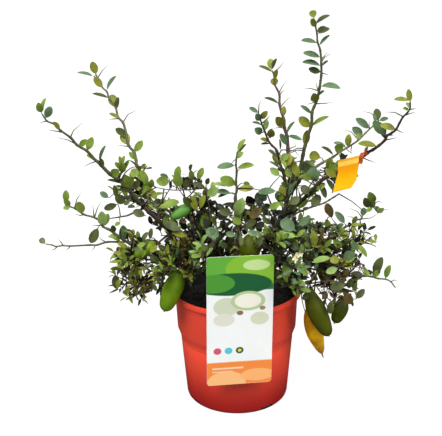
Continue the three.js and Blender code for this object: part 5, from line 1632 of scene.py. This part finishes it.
card = dict(
    paper=((217, 219, 217), (206, 211, 209)), roughness=0.28, cornerSteps=6,
    mottle={"Scale": 20, "Stretch": (1, 1, 1), "Contrast": 2},
    smoothBelow=30, tongueThickness=0.8, tongueUnderTop=0.5,
    tongueBends=[(0, 0.8, -1.2), (0, 0.1, -18)], dim=0.88,
    # the print's shapes in turn: low corner or middle, high corner or half size, colour
    print=[
        ("box", (0, 0.74), (1, 1), (44, 118, 62)), ("oval", (0.2, 0.98), (0.46, 0.16), (98, 172, 58)),
        ("oval", (0.78, 0.9), (0.5, 0.13), (132, 188, 52)),
        ("oval", (0.74, 0.93), (0.2, 0.04), (196, 222, 150)),
        ("oval", (0.38, 0.79), (0.6, 0.085), (26, 92, 50)),
        ("oval", (0.12, 0.8), (0.3, 0.07), (74, 150, 50)),
        ("oval", (0.3, 0.62), (0.2, 0.07), (206, 214, 188)),
        ("oval", (0.62, 0.66), (0.26, 0.075), (184, 202, 150)),
        ("oval", (0.62, 0.66), (0.2, 0.055), (240, 238, 222)),
        ("oval", (0.26, 0.52), (0.16, 0.05), (222, 222, 206)),
        ("oval", (0.8, 0.52), (0.14, 0.05), (214, 218, 190)),
        ("oval", (0.5, 0.57), (0.05, 0.018), (138, 110, 78)),
        ("oval", (0.84, 0.6), (0.045, 0.016), (160, 134, 92)),
        ("oval", (0.16, 0.275), (0.06, 0.026), (214, 84, 110)),
        ("oval", (0.33, 0.275), (0.06, 0.026), (84, 198, 214)),
        ("oval", (0.5, 0.275), (0.06, 0.026), (60, 92, 66)),
        ("oval", (0.5, 0.275), (0.028, 0.012), (224, 214, 90)), ("box", (0, 0), (1, 0.185), (244, 140, 60)),
        ("oval", (0.3, 0.02), (0.3, 0.09), (250, 188, 126)),
        ("oval", (0.78, 0.07), (0.26, 0.05), (250, 178, 110)),
        ("box", (0.08, 0.128), (0.56, 0.14), (250, 216, 180)),
        ("box", (0.08, 0.104), (0.4, 0.112), (250, 208, 168))],
)


def cardFace():
    material, graph, shader = newMaterial("cardFace")
    split = graph.add("SeparateXYZ", "X", {"Vector": graph.add("UVMap", "UV", uv_map="cardMap")}).node
    light, shade = card["paper"]
    colour = graph.add("Group", "Colour", {"Colour A": paint(*light), "Colour B": paint(*shade),
                                           **card["mottle"]}, node_tree=mottle)
    for shape, low, high, tint in card["print"]:
        mask = (boxMask if shape == "box" else ovalMask)(graph, split.outputs, low, high)
        colour = graph.add("Mix", "Result", {"Factor": mask, "A": colour, "B": paint(
            *(channel * card["dim"] for channel in tint))}, data_type="RGBA")
    graph.give(shader, {"Base Color": colour, "Roughness": card["roughness"]})
    return material


def makeSheet():
    width, height = cardSize["width"], cardSize["height"]
    sheet = added(bpy.ops.mesh.primitive_plane_add, size=1, rotation=(pi / 2, 0, 0))
    sheet.scale = (width * mm, height * mm, 1)
    sheet.location = (0, 0, height / 2 * mm)
    applyPlace()
    editAll()
    roundOff(cardSize["corner"], card["cornerSteps"], "VERTICES")
    bpy.ops.mesh.subdivide(number_cuts=1)
    leaveEdit()
    addMap(sheet, "cardMap", lambda spot: (spot.x / width + 0.5, spot.z / height))
    thicken(sheet, cardSize["thickness"], -1, True)
    coat(sheet, cardFace(), materials["cardBack"])
    for face in sheet.data.polygons:
        face.material_index = 0 if face.normal.y < -0.5 else 1
    return sheet


def makeTongue():
    # from the card over the pot's rim and down inside
    front, gap, top = cardSize["front"], cardSize["tongueGap"], cardSize["tongueTop"]
    tongue = added(bpy.ops.mesh.primitive_plane_add, size=1)
    tongue.scale = (cardSize["tongueWidth"] * mm, gap * mm, 1)
    tongue.location = (0, (front + gap / 2) * mm, (top - card["tongueUnderTop"]) * mm)
    applyPlace()
    editAll()
    selectWhere(tongue, lambda spot: spot.y > front + gap / 2)
    for bend in card["tongueBends"]:
        extrudeBy(*bend)
    leaveEdit()
    thicken(tongue, card["tongueThickness"])
    coat(tongue, materials["cardBack"])
    return tongue


def makeCard():
    sheet = makeSheet()
    lean = Matrix.Rotation(radians(-cardSize["tilt"]), 4, "Y")
    turn = Matrix.Rotation(radians(cardSize["yaw"]), 4, "Z")
    place = Vector((cardSize["shift"], cardSize["front"] - cardSize["thickness"], cardSize["bottom"]))
    sheet.matrix_world = turn @ Matrix.Translation(place * mm) @ lean
    tongue = makeTongue()
    tongue.matrix_world = turn @ tongue.matrix_world
    activate(tongue, sheet)
    applyPlace()
    bpy.ops.object.join()
    smoothBelow(card["smoothBelow"])
    keepPiece(sheet, "labelCard", "label_card", "card")


makeCard()
print("card made")


# Flag on its branch

flag = dict(
    outline=[(1, 39), (33, 50), (29, 37), (26, 19), (19, 8), (-5, -1), (1, 25)], thickness=0.6,
    corner=1.4, cornerSteps=3, cuts=5, curl=0.8, curlPace=0.09, curlSlant=0.5, back=0.4, slope=0.33,
    # height of each colour along the plate's slanted top, from its foot up
    colours=[(0, (236, 160, 20)), (4, (255, 200, 14)), (14, (255, 192, 8)), (24, (250, 168, 2)),
             (30, (248, 160, 4)), (31.5, (255, 214, 92)), (35.5, (255, 212, 88)),
             (36.5, (240, 172, 40)), (40, (246, 182, 70))],
    strapPlace=34.5, strapSamples=200, strapSides=20, strapRadius=2.9, strapLength=8, strapWall=0.8,
    smoothBelow=40, loopWidth=5, loopLength=13, loopWall=0.7, loopAbove=2, loopAside=3, loopFront=2.6,
    loopBulge=1.6, loopBulgePace=1.4,
)


def flagFace():
    # a paler band along the top, and a deeper yellow below it
    material = finish("flagPlastic", ((255, 255, 255), (236, 232, 224)), (0.35, 0.5), scale=30,
                      Specular_IOR_Level=0.2)
    graph = Graph(material.node_tree)
    rise = graph.add("SeparateXYZ", "Y", {"Vector": graph.add("UVMap", "UV", uv_map="flagMap")})
    bands = graph.add("ValToRGB", "Color", {"Fac": rise})
    top = flag["colours"][-1][0]
    stops = bands.node.color_ramp.elements
    stops[0].color = paint(*flag["colours"][0][1])
    stops[1].color = paint(*flag["colours"][-1][1])
    for place, colour in flag["colours"][1:-1]:
        stops.new(place / top).color = paint(*colour)
    multiplyColour(graph, 1, bands)
    return material


def makePlate():
    plate = added(bpy.ops.mesh.primitive_circle_add, vertices=len(flag["outline"]), fill_type="NGON")
    for vert, (x, z) in zip(plate.data.vertices, flag["outline"]):
        vert.co = (x * mm, 0, z * mm)
    editAll()
    roundOff(flag["corner"], flag["cornerSteps"], "VERTICES")
    bpy.ops.mesh.select_all(action="SELECT")
    bpy.ops.mesh.quads_convert_to_tris()
    bpy.ops.mesh.subdivide(number_cuts=flag["cuts"])
    leaveEdit()
    top = flag["colours"][-1][0]
    addMap(plate, "flagMap", lambda spot: (spot.x / top, (spot.z - flag["slope"] * spot.x) / top))
    for vert in plate.data.vertices:
        x, z = vert.co.x / mm, vert.co.z / mm
        curl = sin((z + x * flag["curlSlant"]) * flag["curlPace"])
        vert.co.y = (flag["curl"] * curl - flag["back"]) * mm
    thicken(plate, flag["thickness"])
    coat(plate, flagFace())
    turn = Matrix.Rotation(atan2(flagBearing[1], flagBearing[0]), 4, "Z")
    plate.matrix_world = Matrix.Translation(Vector(flagFoot) * mm) @ turn
    smoothBelow(flag["smoothBelow"])
    outwardNormals(plate)
    keepPiece(plate, "branchFlag", "flag_plastic", "branch_flag")


def makeStrap():
    # a sleeve round the shoot, and a tongue bent over the plate's corner
    wanted = flagFoot + flagBearing * flag["strapPlace"]
    middle, tangent = nearestOnStem("shoot_tagged", taper((0, 1), flag["strapSamples"]),
                                    lambda place: norm((place - wanted)[:2]))
    strap = added(bpy.ops.mesh.primitive_cylinder_add, vertices=flag["strapSides"],
                  radius=flag["strapRadius"] * mm, depth=flag["strapLength"] * mm, end_fill_type="NOTHING")
    editAll()
    bpy.ops.mesh.subdivide(number_cuts=2)
    leaveEdit()
    thicken(strap, flag["strapWall"], -1)
    coat(strap, materials["strap"])
    turn = Vector(tangent).to_track_quat("Z", "Y").to_matrix().to_4x4()
    strap.matrix_world = Matrix.Translation(Vector(middle) * mm) @ turn
    smoothBelow(flag["smoothBelow"])
    keepPiece(strap, "flagStrap", "flag_plastic")

    tongue = added(bpy.ops.mesh.primitive_grid_add, x_subdivisions=2, y_subdivisions=8, size=1)
    above = wanted + up * (middle[2] - flagFoot[2] + flag["loopAbove"])
    front = -np.cross(up, flagBearing)
    for vert in tongue.data.vertices:
        down = 0.5 - vert.co.y
        bulge = sin(pi * min(1, down * flag["loopBulgePace"]))
        place = above + flagBearing * (vert.co.x * flag["loopWidth"] - flag["loopAside"] * down)
        place = place - up * (down * flag["loopLength"])
        vert.co = Vector((place + front * (flag["loopFront"] + flag["loopBulge"] * bulge)) * mm)
    thicken(tongue, flag["loopWall"])
    coat(tongue, materials["strap"])
    smoothBelow(flag["smoothBelow"])
    keepPiece(tongue, "strapTongue", "flag_plastic")


makePlate()
makeStrap()
print("flag made")


# Fruit

fruitLook = dict(
    segments=28, rings=22, cap=0.1, neck=0.35, narrow=0.3, nudges={4: (-4, 0, 0)},
    ripeFrom=0.66, ripeTaper=0.36, ripePower=1.3, ripeTip=7.0, tip=2.6,
    tipGirths=(1.3, 0.4),
    ridges=[(0.018, 3), (0.012, 9)], evenness=0.5, ahead=0.02, ends=(0.02, 0.1, 0.9, 0.98),
    stalkGirths=(1.0, 0.9, 1.1, 1.5), stalkRise=3, stalkBack=2, stalkSides=8,
    # places along the fruit's axis from its top, and girths as shares of its own
    calyxPlaces=(-1.6, -0.6, 0.8, 1.6), calyxFoot=0.8, calyxGirths=(0.22, 0.34, 0.2), calyxSides=12,
)


def fruitRadius(girth, share, skin):
    # the source's outline, with rounded ends, and narrower towards the tip of the ripe one
    swell = sin(pi * (fruitShape["shoulder"] + fruitShape["reach"] * share))
    radius = girth * lerp(fruitShape["nub"], 1, swell ** fruitShape["fullness"])
    if share < fruitLook["neck"]:
        radius *= 1 - fruitLook["narrow"] * (1 - share / fruitLook["neck"])
    end = min(share, 1 - share) / fruitLook["cap"]
    if end < 1:
        radius *= sqrt(max(0, 1 - (1 - end) ** 2))
    past = (share - fruitLook["ripeFrom"]) / (1 - fruitLook["ripeFrom"])
    if skin == "fruitRipe" and past > 0:
        radius *= 1 - fruitLook["ripeTaper"] * past ** fruitLook["ripePower"]
    return radius


def stalkFoot(owner, point):
    shares = taper((stalkPlaces["from"], stalkPlaces["to"]), stalkPlaces["count"] - 1)
    return nearestOnStem("foliage_" + owner, shares, lambda place: norm(place - point))[0]


def bendBerry(piece, points, girth, skin, number):
    # the sphere's height is turned into an even run along the axis
    reference, ahead = referenceFor(unit(points[-1] - points[0])), fruitLook["ahead"]
    (slow, threefold), (slower, along) = fruitLook["ridges"]
    for vert in piece.data.vertices:
        share = min(max((1 - vert.co.z) / 2, 0), 1)
        level = acos(1 - 2 * share)
        run = lerp(0.5 - 0.5 * cos(level), level / pi, fruitLook["evenness"])
        tangent = unit(curvePoint(points, min(run + ahead, 1)) - curvePoint(points, max(run - ahead, 0)))
        across, over = crossAxes(tangent, reference)
        radius = fruitRadius(girth, run, skin) if hypot(vert.co.x, vert.co.y) > 1e-6 else 0
        turn = atan2(vert.co.y, vert.co.x)
        ridge = 1 + slow * sin(threefold * turn + number) + slower * sin(along * run + number)
        vert.co = Vector((curvePoint(points, run) + around(across, over, turn) * radius * ridge) * mm)


def makeFruit():
    # one round berry is modelled, and each fruit bends its own copy along its axis
    look = fruitLook
    berry = added(bpy.ops.mesh.primitive_uv_sphere_add, segments=look["segments"],
                  ring_count=look["rings"], radius=1)
    bpy.ops.object.shade_smooth()
    stalks, calyxes = Heap(), Heap()
    made = []
    for number, (owner, axis, girth, skin) in enumerate(fruits):
        points = [np.array(point, float) + look["nudges"].get(number, 0) for point in axis]
        copy = berry.copy()
        copy.data = berry.data.copy()
        bpy.context.scene.collection.objects.link(copy)
        bendBerry(copy, points, girth, skin, number)
        coat(copy, materials[skin])
        outwardNormals(copy)
        made.append(copy)
        top, below, aboveTip, tip = (curvePoint(points, place) for place in look["ends"])
        down = unit(below - points[0])
        foot = stalkFoot(owner, curvePoint(points, fruitShape["stalkDepth"]))
        bend = (foot + top) / 2 + up * look["stalkRise"] - down * look["stalkBack"]
        addTube(stalks, [foot, bend, top - down * look["stalkBack"], top + down], look["stalkGirths"],
                look["stalkSides"])
        addTube(calyxes, [top + down * place for place in look["calyxPlaces"]],
                [look["calyxFoot"], *(girth * share for share in look["calyxGirths"])], look["calyxSides"])
        tail = look["ripeTip" if skin == "fruitRipe" else "tip"]
        addTube(calyxes, [tip, tip - unit(aboveTip - tip) * tail], look["tipGirths"], look["stalkSides"])
    bpy.data.objects.remove(berry)
    activate(*reversed(made))
    bpy.ops.object.join()
    keepPiece(made[0], "fruit", "foliage")
    outwardNormals(pieceFrom("fruitStalks", stalks, materials["greenStem"], "foliage"))
    outwardNormals(pieceFrom("fruitCalyxes", calyxes, materials["calyx"], "foliage"))


makeFruit()


# Blossom

blossomLook = dict(petals=5, open=0.35, petal=(9.0, 0.28, 0.4, -0.1), stamens=9, stamenLength=4,
                   stamenSpread=1.3, stamenGirths=(0.25, 0.4), stamenSides=4, stalkGirths=(0.8, 0.6, 0.9),
                   stalkSides=6)


def makeBlossoms():
    look = blossomLook
    petals, stamens, stalks = Heap(), Heap(), Heap()
    for owner, place in blossoms:
        centre = np.array(place, float)
        foot = stalkFoot(owner, centre)
        outward = unit(unit(centre - foot) + unit(eye - centre) if centre[1] < 0 else centre - foot)
        across, over = crossAxes(outward, up)
        addTube(stalks, [foot, (foot + centre) / 2 + up, centre], look["stalkGirths"], look["stalkSides"])
        for turn in turnsRound(look["petals"]):
            direction = unit(around(across, over, turn) + outward * look["open"])
            addLeaf(petals, centre, direction, squared(outward, direction), *look["petal"])
        for turn in turnsRound(look["stamens"]):
            tip = centre + outward * look["stamenLength"] + around(across, over, turn) * look["stamenSpread"]
            addTube(stamens, [centre, tip], look["stamenGirths"], look["stamenSides"])
    pieceFrom("blossomPetals", petals, materials["petals"], "foliage")
    outwardNormals(pieceFrom("blossomStalks", stalks, materials["greenStem"], "foliage"))
    outwardNormals(pieceFrom("blossomStamens", stamens, materials["stamens"], "foliage"))


makeBlossoms()
print("fruit and blossom made")
